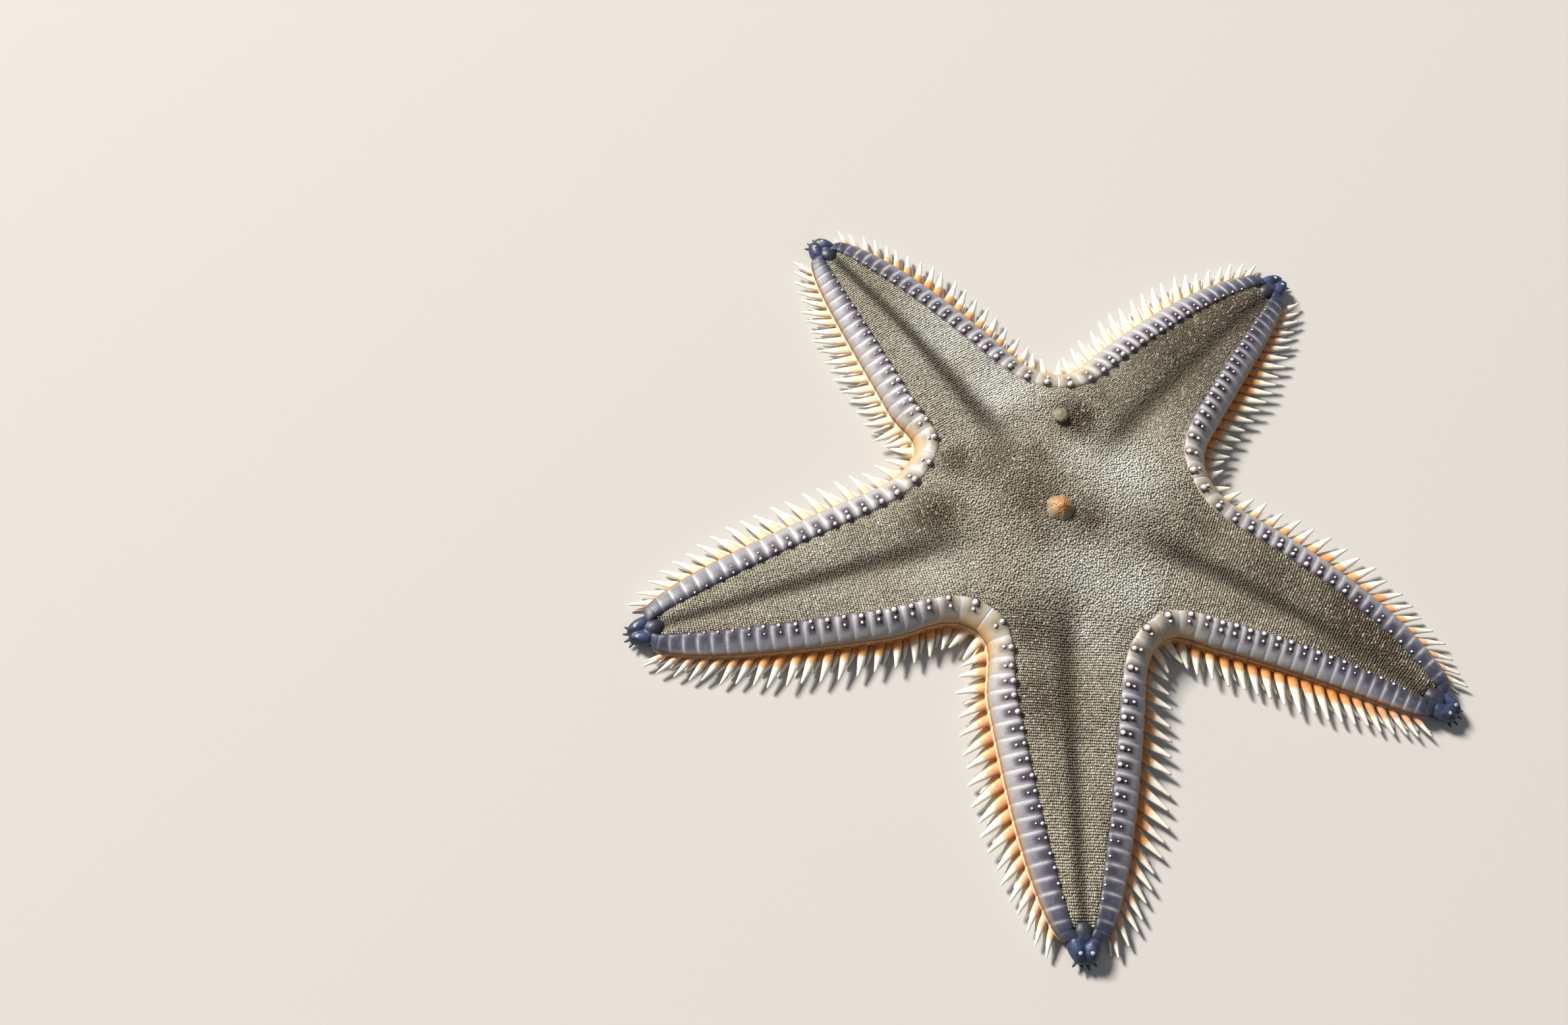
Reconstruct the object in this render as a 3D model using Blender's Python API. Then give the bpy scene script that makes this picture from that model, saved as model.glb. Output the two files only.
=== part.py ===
# Comb sand starfish (genus Astropecten), life size, lying on its oral side.
# Five arms reach from a small disc. Each arm has a soft upper body, two rows of upper
# marginal plates, two rows of lower marginal plates with their comb of spines, an oral
# plate with the groove for the tube feet, and a blue two-lobed plate at its tip.
import math

import bmesh
import bpy
from mathutils import Matrix, Vector

MM = 0.001
GAP = 0.3 * MM                     # clearance between neighbouring sub-parts
REACH = 50 * MM                    # disc centre to arm tip

# The arms in turn round the disc: heading of the base in degrees, sideways bend (square
# and cube terms, positive to the left), and length as a share of the reach.
ARMS = [
    dict(name="arm_1", heading=-91.0, bend=(-0.009, 0.011), length=0.999),
    dict(name="arm_2", heading=-18.9, bend=(0.020, -0.176), length=0.996),
    dict(name="arm_3", heading=51.6, bend=(-0.014, -0.085), length=0.982),
    dict(name="arm_4", heading=119.6, bend=(0.046, 0.039), length=1.005),
    dict(name="arm_5", heading=194.0, bend=(0.048, -0.023), length=1.057),
]
# The arc to the left of each arm: heading in degrees and distance of its inner edge.
ARCS = [(-53.0, 0.331 * REACH), (15.0, 0.357 * REACH), (84.0, 0.350 * REACH),
        (151.0, 0.325 * REACH), (234.0, 0.294 * REACH)]

# Half widths along an arm at t = 0 (centre) to 1 (tip): width * (1 - t) ** taper.
PAXILLAR_WIDTH, PAXILLAR_TAPER = 0.184 * REACH, 0.72
OUTER_WIDTH, OUTER_TAPER = 0.238 * REACH, 0.42
ARC_BAND = 0.060 * REACH           # width of the marginal plates in the arcs
ARC_END = 0.46                     # t where the arc runs into the straight arm
INNER_END, OUTER_END = 0.945, 0.965  # t where the marginal rows stop, by the terminal plate
BEND_STEPS, MARGIN_STEPS = 20, 40  # points of a margin in the arc and along the arm
BEND_PULL = 0.38                   # roundness of the arc

# Heights above the ground, at the disc and at the arm tip.
EDGE_HEIGHT = (5.2 * MM, 2.5 * MM)     # upper rim of the marginal plates
MIDLINE_HEIGHT = (6.3 * MM, 2.9 * MM)  # back of the arm
SEAM_HEIGHT = (2.6 * MM, 1.6 * MM)     # seam between upper and lower marginal plates
DISC_HEIGHT = 7.2 * MM
ARM_ROUNDNESS, DISC_ROUNDNESS = 2.2, 1.7  # powers of the crowns across an arm and the disc
DISC_RINGS = (1.0, 0.72, 0.44, 0.18)   # shares of the rim's distance
FURROW_DEPTH, FURROW_WIDTH = 0.9 * MM, 2.0 * MM
ORAL_TOP = 1.5 * MM
ORAL_CLEARANCE = 0.3 * MM
GROOVE_WIDTH = (1.5 * MM, 0.5 * MM)    # half width of the ambulacral groove
GROOVE_DEPTH = 0.75 * MM
GROOVE_REACH = 1.15                # how far the disc's grooves run on past its rim
CUT_DROP = 0.2 * MM                # how far a cutter stands below what it cuts
MOUTH_RADIUS, MOUTH_DEPTH = (2.6 * MM, 1.4 * MM), 1.5 * MM  # at the bottom and the top

PLATES_PER_SIDE = 20
PITCH_TAPER = 0.25                 # how much the plates shorten from arc to tip
LOFT_STEPS = 10
LOFT_SPACING = 1.35                # above 1 the sections stand closer together in the arc
ARM_START = 0.012                  # share of the edge where the arm starts, clear of the disc
ACROSS = (-1.0, -0.72, -0.36, -0.11, 0.11, 0.36, 0.72, 1.0)

SPINE_LENGTH = (2.9 * MM, 4.0 * MM, 2.5 * MM)  # in the arc, at mid arm, at the tip
SPINE_WIDTH = (0.95 * MM, 0.85 * MM, 0.60 * MM)  # at the shoulder, before the point
SPINE_THICKNESS = 0.55 * MM
SPINE_SHOULDER = 0.5               # share of the length where the point begins
SPINE_FACE = (0.75, 0.15)          # top and foot of the face a spine grows from, of the seam
SPINE_LEAN = (8.0, 24.0, 44.0)     # degrees towards the arm tip
SPINE_DROOP = 5.0                  # degrees below the level
TANGENT_STEP = 0.02                # share of the plates over which the margin's way is read

# The terminal plate's two lobes.
LOBE_LENGTH, LOBE_WIDTH, LOBE_HEIGHT = 3.6 * MM, 2.1 * MM, 2.3 * MM
LOBE_SPREAD = 0.85 * MM            # from the arm's midline to the middle of a lobe
LOBE_TURN = -12.0                  # degrees, so that the lobes close in towards the tip
LOBE_SETBACK, LOBE_LIFT = 0.7 * MM, 0.2 * MM  # of its middle behind the tip, of its foot

CONE_RADIUS, CONE_HEIGHT = (1.35 * MM, 0.45 * MM), 1.1 * MM
SIEVE_PLACE, SIEVE_LEVEL = 0.255 * REACH, 6.75 * MM
SIEVE_RADIUS, SIEVE_THICKNESS = (0.95 * MM, 0.65 * MM), 0.6 * MM

SLATE = (0.30, 0.28, 0.33)
DRAB = (0.23, 0.21, 0.15)


def reset_scene():
    for item in list(bpy.data.objects):
        bpy.data.objects.remove(item, do_unlink=True)


def collection(name):
    group = bpy.data.collections.new(name)
    bpy.context.scene.collection.children.link(group)
    return group


def material(name, colour, roughness):
    made = bpy.data.materials.new(name)
    made.use_nodes = True
    shader = made.node_tree.nodes["Principled BSDF"]
    shader.inputs["Base Color"].default_value = (*colour, 1.0)
    shader.inputs["Roughness"].default_value = roughness
    shader.inputs["Metallic"].default_value = 0.0
    return made


def finish(bm, name, group, surface=None):
    bmesh.ops.triangulate(bm, faces=bm.faces)
    bmesh.ops.recalc_face_normals(bm, faces=bm.faces)
    mesh = bpy.data.meshes.new(name)
    bm.to_mesh(mesh)
    bm.free()
    made = bpy.data.objects.new(name, mesh)
    made.parent = bpy.data.objects["starfish_frame"]
    if surface:
        mesh.materials.append(surface)
    else:
        made.hide_render = True
        made.display_type = "WIRE"
    group.objects.link(made)
    return made


def loft(sections):
    # Closed body through rings of equally many points, with flat ends.
    bm = bmesh.new()
    rings = [[bm.verts.new(point) for point in section] for section in sections]
    count = len(rings[0])
    for near, far in zip(rings, rings[1:]):
        for i in range(count):
            j = (i + 1) % count
            bm.faces.new((near[i], near[j], far[j], far[i]))
    bm.faces.new(list(reversed(rings[0])))
    bm.faces.new(rings[-1])
    return bm


def combine(target, operand, operation):
    change = target.modifiers.new(operation.lower() + " " + operand.name, "BOOLEAN")
    change.operation = operation
    change.object = operand
    change.solver = "EXACT"


def mix(pair, u):
    return pair[0] + (pair[1] - pair[0]) * u


def mix3(triple, u):
    # From the first value through the second at mid arm to the third.
    return mix(triple[:2], u * 2) if u < 0.5 else mix(triple[1:], u * 2 - 1)


def polar(heading, distance, height=0.0):
    angle = math.radians(heading)
    return Vector((distance * math.cos(angle), distance * math.sin(angle), height))


def beside(arm, t, offset):
    # Point at share t of the arm's length, offset to the left of its bent axis.
    square, cube = arm["bend"]
    length = REACH * arm["length"]
    local = Vector((t, square * t ** 2 + cube * t ** 3, 0.0)) * length
    along = Vector((1.0, 2 * square * t + 3 * cube * t ** 2, 0.0)).normalized()
    local += offset * Vector((-along.y, along.x, 0.0))
    return Matrix.Rotation(math.radians(arm["heading"]), 3, "Z") @ local


def arc_beside(index, side):
    # Inner edge of the arc beside an arm, and the way out between the two arms there.
    near = index if side > 0 else index - 1
    first, second = ARMS[near]["heading"], ARMS[(near + 1) % len(ARMS)]["heading"]
    opening = first + ((second - first) % 360) / 2
    return polar(*ARCS[near]), opening


def edge_curve(index, side, width, taper, band, end):
    # Plan curve of one margin, from the middle of the arc to the arm's tip.
    arm = ARMS[index]
    start, opening = arc_beside(index, side)
    start += polar(opening, band)
    away = polar(opening - 90 * side, 1.0)
    margin = [beside(arm, t, side * width * (1 - t) ** taper)
              for t in [mix((ARC_END, end), i / MARGIN_STEPS) for i in range(MARGIN_STEPS + 1)]]
    pull = BEND_PULL * (margin[0] - start).length
    into = (margin[1] - margin[0]).normalized()
    handles = (start, start + away * pull, margin[0] - into * pull, margin[0])
    curve = []
    for i in range(BEND_STEPS):
        a, b = i / BEND_STEPS, 1 - i / BEND_STEPS
        weights = (b ** 3, 3 * a * b ** 2, 3 * a ** 2 * b, a ** 3)
        curve.append(sum((h * w for h, w in zip(handles, weights)), Vector()))
    return curve + margin


def along_curve(curve, u):
    # Point at share u of the plates, which shorten towards the tip.
    share = (u - PITCH_TAPER * u * u / 2) / (1 - PITCH_TAPER / 2)
    lengths = [(b - a).length for a, b in zip(curve, curve[1:])]
    left = share * sum(lengths)
    for a, b, length in zip(curve, curve[1:], lengths):
        if left <= length:
            return a.lerp(b, left / length)
        left -= length
    return curve[-1].copy()


def loft_steps(first):
    # Shares of the edge for the lofts, closer together in the arc, where it bends most.
    return [first] + [(i / LOFT_STEPS) ** LOFT_SPACING for i in range(1, LOFT_STEPS + 1)]


def margins(index, side):
    inner = edge_curve(index, side, PAXILLAR_WIDTH, PAXILLAR_TAPER, 0.0, INNER_END)
    outer = edge_curve(index, side, OUTER_WIDTH, OUTER_TAPER, ARC_BAND, OUTER_END)
    return inner, outer


def row_section(index, side, u, profile):
    # Profile points are (share of the width from the inner edge, height).
    inner, outer = margins(index, side)
    near, far = along_curve(inner, u), along_curve(outer, u)
    across = (far - near).normalized()
    near += across * GAP / 2
    if u == 0.0:
        step = polar(arc_beside(index, side)[1] - 90 * side, GAP / 2)
        near += step
        far += step
    points = []
    for share, height in profile:
        point = near.lerp(far, share)
        point.z = height
        points.append(point)
    return points


def upper_profile(u):
    rim, seam = mix(EDGE_HEIGHT, u), mix(SEAM_HEIGHT, u)
    drop = rim - seam
    low = seam + GAP / 2
    return [(0.0, rim), (0.36, rim - 0.10 * drop), (0.70, rim - 0.42 * drop),
            (0.93, low), (0.0, low)]


def lower_profile(u):
    seam = mix(SEAM_HEIGHT, u)
    top = seam - GAP / 2
    return [(0.0, top), (0.93, top), (1.0, SPINE_FACE[0] * seam), (1.0, SPINE_FACE[1] * seam),
            (0.84, 0.0), (0.0, 0.0)]


def upper_row(index, side, name, group, surface):
    sections = [row_section(index, side, u, upper_profile(u)) for u in loft_steps(0.0)]
    return finish(loft(sections), name, group, surface)


def spine_axis(index, side, u):
    # Outwards from the margin, leaning towards the arm tip and a little down.
    outer = margins(index, side)[1]
    ahead, behind = along_curve(outer, min(u + TANGENT_STEP, 1.0)), along_curve(outer, u - TANGENT_STEP)
    tangent = (ahead - behind).normalized()
    outward = Vector((-tangent.y, tangent.x, 0.0)) * side
    lean, droop = math.radians(mix3(SPINE_LEAN, u)), math.radians(SPINE_DROOP)
    level = outward * math.cos(lean) + tangent * math.sin(lean)
    return level * math.cos(droop) - Vector((0.0, 0.0, math.sin(droop)))


def grow_spine(bm, face, axis, length, width):
    # A flattened blade: from the whole face to a shoulder, then to a point.
    root = face.calc_center_median()
    broad = axis.cross(Vector((0.0, 0.0, 1.0))).normalized()
    flat = broad.cross(axis)
    shoulder = bmesh.ops.extrude_discrete_faces(bm, faces=[face])["faces"][0]
    for vertex in shoulder.verts:
        out = vertex.co - root
        vertex.co = root + axis * length * SPINE_SHOULDER
        vertex.co += broad * math.copysign(width / 2, out.dot(broad))
        vertex.co += flat * math.copysign(SPINE_THICKNESS / 2, out.dot(flat))
    tip = bmesh.ops.poke(bm, faces=[shoulder])["verts"][0]
    tip.co = root + axis * length


def lower_row(index, side, name, group, surface):
    # Lower marginal plates in one strip, each with a spine on its outer face.
    steps = [i / PLATES_PER_SIDE for i in range(PLATES_PER_SIDE + 1)]
    sections = [row_section(index, side, u, lower_profile(u)) for u in steps]
    bm = loft(sections)
    bm.faces.ensure_lookup_table()
    points = len(sections[0])
    outer_faces = [bm.faces[i * points + 2] for i in range(PLATES_PER_SIDE)]
    for i, face in enumerate(outer_faces):
        u = (i + 0.5) / PLATES_PER_SIDE
        grow_spine(bm, face, spine_axis(index, side, u), mix3(SPINE_LENGTH, u), mix3(SPINE_WIDTH, u))
    return finish(bm, name, group, surface)


def back_height(u, v, half_width):
    # Back of an arm at share u of its edge, v from -1 (right) to 1 (left).
    rim, top = mix(EDGE_HEIGHT, u), mix(MIDLINE_HEIGHT, u)
    furrow = FURROW_DEPTH * math.exp(-(v * half_width / FURROW_WIDTH) ** 2) * min(1.0, 3 * u)
    return rim + (top - rim) * (1 - abs(v) ** ARM_ROUNDNESS) - furrow


def arm_edges(index, u):
    # Left and right edge of the arm's soft body, just inside the marginal plates.
    left = along_curve(margins(index, 1)[0], u)
    right = along_curve(margins(index, -1)[0], u)
    inward = (right - left).normalized() * GAP / 2
    return left + inward, right - inward


def arm_body(index, group, surface):
    sections = []
    for u in loft_steps(ARM_START):
        left, right = arm_edges(index, u)
        half_width = (left - right).length / 2
        section = []
        for v in ACROSS:
            point = right.lerp(left, (v + 1) / 2)
            point.z = back_height(u, v, half_width)
            section.append(point)
        low = ORAL_TOP + GAP / 2
        section += [Vector((*left.xy, low)), Vector((*right.xy, low))]
        sections.append(section)
    return finish(loft(sections), ARMS[index]["name"] + "_body", group, surface)


def arm_oral(index, group, surface):
    # Underside of the arm, with the open groove that holds the tube feet.
    sections = []
    for u in loft_steps(ARM_START):
        left, right = arm_edges(index, u)
        groove = mix(GROOVE_WIDTH, u) / (left - right).length
        high, low = ORAL_TOP - GAP / 2, ORAL_CLEARANCE
        profile = [(0.0, low), (0.5 - groove, low), (0.5, low + GROOVE_DEPTH),
                   (0.5 + groove, low), (1.0, low), (1.0, high), (0.0, high)]
        section = []
        for share, height in profile:
            point = right.lerp(left, share)
            point.z = height
            section.append(point)
        sections.append(section)
    return finish(loft(sections), ARMS[index]["name"] + "_oral", group, surface)


def disc_corners():
    return [polar(heading, distance - GAP) for heading, distance in ARCS]


def disc_rim():
    # Rim of the disc: straight from arc to arc, as high as the arm that starts there.
    corners = disc_corners()
    rim = []
    for index in range(len(ARMS)):
        right, left = corners[index - 1], corners[index]
        half_width = (left - right).length / 2
        for v in ACROSS[:-1]:
            point = right.lerp(left, (v + 1) / 2)
            point.z = back_height(0.0, v, half_width)
            rim.append(point)
    return rim


def disc_body(group, surface):
    rim = disc_rim()
    low = ORAL_TOP + GAP / 2
    bm = bmesh.new()
    rings = []
    for share in DISC_RINGS:
        swell = 1 - share ** DISC_ROUNDNESS
        ring = []
        for point in rim:
            height = point.z + (DISC_HEIGHT - point.z) * swell
            ring.append(bm.verts.new((point.x * share, point.y * share, height)))
        rings.append(ring)
    base = [bm.verts.new((point.x, point.y, low)) for point in rim]
    count = len(rim)
    for near, far in zip([base] + rings, rings):
        for i in range(count):
            j = (i + 1) % count
            bm.faces.new((near[i], near[j], far[j], far[i]))
    bm.faces.new(rings[-1])
    bm.faces.new(list(reversed(base)))
    return finish(bm, "disc_body", group, surface)


def mouth_frame(group, cutters, surface):
    # Oral side of the disc: five pairs of jaws round the mouth, parted by the grooves.
    corners = disc_corners()
    low = [Vector((*corner.xy, ORAL_CLEARANCE)) for corner in corners]
    high = [Vector((*corner.xy, ORAL_TOP - GAP / 2)) for corner in corners]
    frame = finish(loft([low, high]), "mouth_frame", group, surface)
    bm = bmesh.new()
    middle = Matrix.Translation((0.0, 0.0, MOUTH_DEPTH / 2 - CUT_DROP + ORAL_CLEARANCE))
    bmesh.ops.create_cone(bm, segments=10, radius1=MOUTH_RADIUS[0], radius2=MOUTH_RADIUS[1],
                          depth=MOUTH_DEPTH, cap_ends=True, matrix=middle)
    combine(frame, finish(bm, "mouth_cutter", cutters), "DIFFERENCE")
    foot, ridge = ORAL_CLEARANCE - CUT_DROP, ORAL_CLEARANCE + GROOVE_DEPTH
    half_width = GROOVE_WIDTH[0] * (ridge - foot) / GROOVE_DEPTH
    for index, arm in enumerate(ARMS):
        gate = corners[index].lerp(corners[index - 1], 0.5)
        outward = gate.normalized()
        aside = Vector((-outward.y, outward.x, 0.0)) * half_width
        sections = []
        for reach in (0.0, GROOVE_REACH):
            centre = gate * reach
            sections.append([centre + aside + Vector((0.0, 0.0, foot)),
                             centre - aside + Vector((0.0, 0.0, foot)),
                             centre + Vector((0.0, 0.0, ridge))])
        combine(frame, finish(loft(sections), arm["name"] + "_groove_cutter", cutters), "DIFFERENCE")
    return frame


def terminal_plate(index, group, cutters, surface):
    # Two rounded lobes side by side, with a cleft between them.
    arm = ARMS[index]
    near, far = beside(arm, INNER_END, 0.0), beside(arm, 1.0, 0.0)
    along = (far - near).normalized()
    aside = Vector((-along.y, along.x, 0.0))
    middle = far - along * LOBE_SETBACK
    lobes = []
    for side in (1, -1):
        centre = middle + aside * side * LOBE_SPREAD
        centre.z = LOBE_LIFT + LOBE_HEIGHT / 2
        inward = math.radians(LOBE_TURN * side)
        turn = Matrix((along, aside, Vector((0, 0, 1)))).transposed().to_4x4()
        size = Matrix.Diagonal((LOBE_LENGTH / 2, LOBE_WIDTH / 2, LOBE_HEIGHT / 2, 1.0))
        place = Matrix.Translation(centre) @ turn @ Matrix.Rotation(inward, 4, "Z") @ size
        bm = bmesh.new()
        bmesh.ops.create_uvsphere(bm, u_segments=8, v_segments=5, radius=1.0, matrix=place)
        lobes.append(bm)
    plate = finish(lobes[0], arm["name"] + "_terminal_plate", group, surface)
    combine(plate, finish(lobes[1], arm["name"] + "_lobe", cutters), "UNION")
    return plate


def anal_cone(group, surface):
    bm = bmesh.new()
    place = Matrix.Translation((0, 0, DISC_HEIGHT + GAP + CONE_HEIGHT / 2))
    bmesh.ops.create_cone(bm, segments=12, radius1=CONE_RADIUS[0], radius2=CONE_RADIUS[1],
                          depth=CONE_HEIGHT, cap_ends=True, matrix=place)
    return finish(bm, "anal_cone", group, surface)


def madreporite(group, surface):
    # Round sieve plate near the rim of the disc, in the arc opposite arm 1.
    place = polar(ARCS[2][0], SIEVE_PLACE, SIEVE_LEVEL)
    bm = bmesh.new()
    bmesh.ops.create_cone(bm, segments=12, radius1=SIEVE_RADIUS[0], radius2=SIEVE_RADIUS[1],
                          depth=SIEVE_THICKNESS, cap_ends=True, matrix=Matrix.Translation(place))
    return finish(bm, "madreporite", group, surface)


def centre_frame(frame, parts):
    # The shared frame has its origin under the middle of the whole animal.
    bpy.context.view_layer.update()
    graph = bpy.context.evaluated_depsgraph_get()
    spots = []
    for part in parts:
        solid = part.evaluated_get(graph)
        spots += [solid.matrix_world @ vertex.co for vertex in solid.data.vertices]
    for axis in (0, 1):
        low = min(spot[axis] for spot in spots)
        high = max(spot[axis] for spot in spots)
        frame.location[axis] = -(low + high) / 2


def build():
    reset_scene()
    group = collection("comb_sand_starfish")
    cutters = collection("cutters")
    frame = bpy.data.objects.new("starfish_frame", None)
    group.objects.link(frame)
    paxillar = material("paxillar skin", DRAB, 0.75)
    upper = material("upper marginal plates", SLATE, 0.55)
    lower = material("lower marginal plates and spines", (0.72, 0.42, 0.18), 0.6)
    oral = material("oral plates", (0.70, 0.60, 0.42), 0.7)
    blue = material("terminal plates", (0.05, 0.08, 0.17), 0.4)
    bump = material("anal cone", (0.42, 0.24, 0.11), 0.7)
    sieve = material("madreporite", (0.40, 0.34, 0.24), 0.7)

    parts = [disc_body(group, paxillar), mouth_frame(group, cutters, oral),
             anal_cone(group, bump), madreporite(group, sieve)]
    for index, arm in enumerate(ARMS):
        parts.append(arm_body(index, group, paxillar))
        parts.append(arm_oral(index, group, oral))
        parts.append(terminal_plate(index, group, cutters, blue))
        for side, word in ((1, "left"), (-1, "right")):
            name = arm["name"] + "_" + word
            parts.append(upper_row(index, side, name + "_upper_plates", group, upper))
            parts.append(lower_row(index, side, name + "_lower_plates", group, lower))
    centre_frame(frame, parts)


build()
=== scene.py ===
import math

import bpy
import numpy as np
from mathutils import Matrix, Vector, noise
from mathutils.bvhtree import BVHTree


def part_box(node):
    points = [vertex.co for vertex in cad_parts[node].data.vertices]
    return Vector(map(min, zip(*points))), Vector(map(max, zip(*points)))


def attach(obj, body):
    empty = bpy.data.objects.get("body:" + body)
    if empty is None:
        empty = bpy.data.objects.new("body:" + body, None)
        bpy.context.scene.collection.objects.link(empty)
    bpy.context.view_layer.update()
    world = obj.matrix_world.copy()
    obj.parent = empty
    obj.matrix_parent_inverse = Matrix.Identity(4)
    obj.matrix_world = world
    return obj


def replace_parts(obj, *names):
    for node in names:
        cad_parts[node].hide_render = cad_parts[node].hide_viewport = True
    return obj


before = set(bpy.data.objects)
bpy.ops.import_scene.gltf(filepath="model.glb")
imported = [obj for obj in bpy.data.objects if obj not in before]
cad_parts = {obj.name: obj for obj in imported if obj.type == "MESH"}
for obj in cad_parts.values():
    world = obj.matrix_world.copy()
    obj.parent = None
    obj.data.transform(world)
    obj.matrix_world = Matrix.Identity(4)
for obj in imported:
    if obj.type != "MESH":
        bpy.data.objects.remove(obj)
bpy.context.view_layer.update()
mm = 0.001
random = np.random.RandomState(7)
coneLow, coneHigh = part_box("anal_cone")
starCentre = np.array([(coneLow[0] + coneHigh[0]) / 2, (coneLow[1] + coneHigh[1]) / 2])

# The plan of the animal, seen from its centre: what the solids were built from. A width is
# its share of the reach and how fast it narrows; a height is at the arc and at the tip.
starPlan = {
    "reach": 50 * mm,
    "armHeadings": [-91.0, -18.9, 51.6, 119.6, 194.0],
    "armBends": [(-0.009, 0.011), (0.020, -0.176), (-0.014, -0.085), (0.046, 0.039), (0.048, -0.023)],
    "armLengths": [0.999, 0.996, 0.982, 1.005, 1.057],
    "arcHeadings": [-53.0, 15.0, 84.0, 151.0, 234.0],
    "arcDistances": [0.331, 0.357, 0.350, 0.325, 0.294],
    "innerWidth": (0.184, 0.72),
    "outerWidth": (0.238, 0.42),
    "arcBand": 0.060,
    "arcEnd": 0.46,
    "arcPull": 0.38,
    "edgeSamples": (41, 60),
    "innerEnd": 0.945,
    "outerEnd": 0.965,
    "platesPerSide": 20,
    "pitchTaper": 0.25,
    "rimHeight": (5.2 * mm, 2.5 * mm),
    "backHeight": (6.3 * mm, 2.9 * mm),
    "seamHeight": (2.6 * mm, 1.6 * mm),
    "discHeight": 7.2 * mm,
}
reach = starPlan["reach"]
armCount = len(starPlan["armHeadings"])
plateCount = starPlan["platesPerSide"]


def mix(low, high, share):
    return low + (high - low) * share


def smoothStep(low, high, value):
    share = np.clip((value - low) / (high - low), 0, 1)
    return share * share * (3 - 2 * share)


def heading(degrees):
    angle = np.radians(degrees)
    return np.stack([np.cos(angle), np.sin(angle)], axis=-1)


def unit(vectors):
    return vectors / np.linalg.norm(vectors, axis=-1, keepdims=True)


def stepsAlong(path):
    return np.concatenate([[0], np.cumsum(np.linalg.norm(np.diff(path, axis=0), axis=1))])


def pathAt(at, stations, path):
    return np.stack([np.interp(at, stations, path[:, axis]) for axis in (0, 1)], axis=-1)


def raised(spots, height):
    return np.concatenate([spots, np.broadcast_to(height, spots.shape[:-1])[..., None]], axis=-1)


def stacked(*values):
    return np.stack(np.broadcast_arrays(*values), axis=-1)


def armPoint(arm, t, offset):
    # Point at share t of an arm, offset to the left of its bent axis, from the centre.
    square, cube = starPlan["armBends"][arm]
    length = reach * starPlan["armLengths"][arm]
    t, offset = np.asarray(t, float), np.asarray(offset, float)
    slope = np.arctan(2 * square * t + 3 * cube * t ** 2)
    x = length * t - offset * np.sin(slope)
    y = length * (square * t ** 2 + cube * t ** 3) + offset * np.cos(slope)
    ahead, left = heading(starPlan["armHeadings"][arm]), heading(starPlan["armHeadings"][arm] + 90)
    return x[..., None] * ahead + y[..., None] * left


def arcBeside(arm, side):
    # The lowest point of the arc beside an arm, and the way that the arc opens.
    near = arm if side > 0 else arm - 1
    first = starPlan["armHeadings"][near]
    second = starPlan["armHeadings"][(near + 1) % armCount]
    opening = first + ((second - first) % 360) / 2
    return heading(starPlan["arcHeadings"][near]) * starPlan["arcDistances"][near] * reach, opening


def edgeCurve(arm, side, edge, band):
    # The inner or outer edge of a marginal row: round the arc, then along the arm.
    width, taper = starPlan[edge + "Width"]
    start, opening = arcBeside(arm, side)
    start = start + heading(opening) * band
    away = heading(opening - 90 * side)
    arcSamples, armSamples = starPlan["edgeSamples"]
    t = np.linspace(starPlan["arcEnd"], starPlan[edge + "End"], armSamples)
    margin = armPoint(arm, t, side * width * reach * (1 - t) ** taper)
    pull = starPlan["arcPull"] * np.linalg.norm(margin[0] - start)
    into = unit(margin[1] - margin[0])
    a = np.linspace(0, 1, arcSamples)[:-1, None]
    arc = ((1 - a) ** 3 * start + 3 * a * (1 - a) ** 2 * (start + away * pull)
           + 3 * a ** 2 * (1 - a) * (margin[0] - into * pull) + a ** 3 * margin[0])
    curve = np.vstack([arc, margin])
    return curve, stepsAlong(curve)


margins = {(arm, side): (edgeCurve(arm, side, "inner", 0.0),
                         edgeCurve(arm, side, "outer", starPlan["arcBand"] * reach))
           for arm in range(armCount) for side in (1, -1)}
rowSides = [(arm, side, "left" if side > 0 else "right") for arm, side in margins]


def alongEdge(edge, u):
    # Points at shares u of the plates, which shorten towards the tip of the arm.
    curve, lengths = edge
    taper = starPlan["pitchTaper"]
    share = (u - taper * u * u / 2) / (1 - taper / 2) * lengths[-1]
    return pathAt(share, lengths, curve)


facingSteps = np.linspace(0, 1, 241)
facingRounds = 12


def facingShares(inner, outer):
    # The share of the inner edge that faces each share of the outer one, smoothed.
    near, far = alongEdge(inner, facingSteps), alongEdge(outer, facingSteps)
    nearest = np.linalg.norm(far[:, None] - near[None], axis=-1).argmin(axis=1)
    share = np.maximum.accumulate(facingSteps[nearest])
    for _ in range(facingRounds):
        share[1:-1] = (share[:-2] + 2 * share[1:-1] + share[2:]) / 4
    return (share - share[0]) / (share[-1] - share[0])


facingInner = {key: facingShares(inner, outer) for key, (inner, outer) in margins.items()}


def rowEdges(arm, side, u):
    inner, outer = margins[arm, side]
    return alongEdge(inner, np.interp(u, facingSteps, facingInner[arm, side])), alongEdge(outer, u)


def rowPoint(arm, side, u, across, height):
    # Point of a marginal row: share of its width from the inner edge, and height.
    near, far = rowEdges(arm, side, u)
    return raised(near + (far - near) * np.asarray(across)[..., None] + starCentre, height)


def rowAcross(arm, side, u):
    near, far = rowEdges(arm, side, u)
    return unit(far - near), np.linalg.norm(far - near, axis=-1)


def linearColour(code):
    value = [int(code[i:i + 2], 16) / 255 for i in (1, 3, 5)]
    return tuple(c / 12.92 if c < 0.04045 else ((c + 0.055) / 1.055) ** 2.4 for c in value) + (1.0,)


def addNode(tree, kind, inputs=None, **settings):
    made = tree.nodes.new(kind)
    for name, value in settings.items():
        setattr(made, name, value)
    for name, value in (inputs or {}).items():
        if isinstance(value, bpy.types.NodeSocket):
            tree.links.new(value, made.inputs[name])
        else:
            made.inputs[name].default_value = value
    return made


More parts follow.
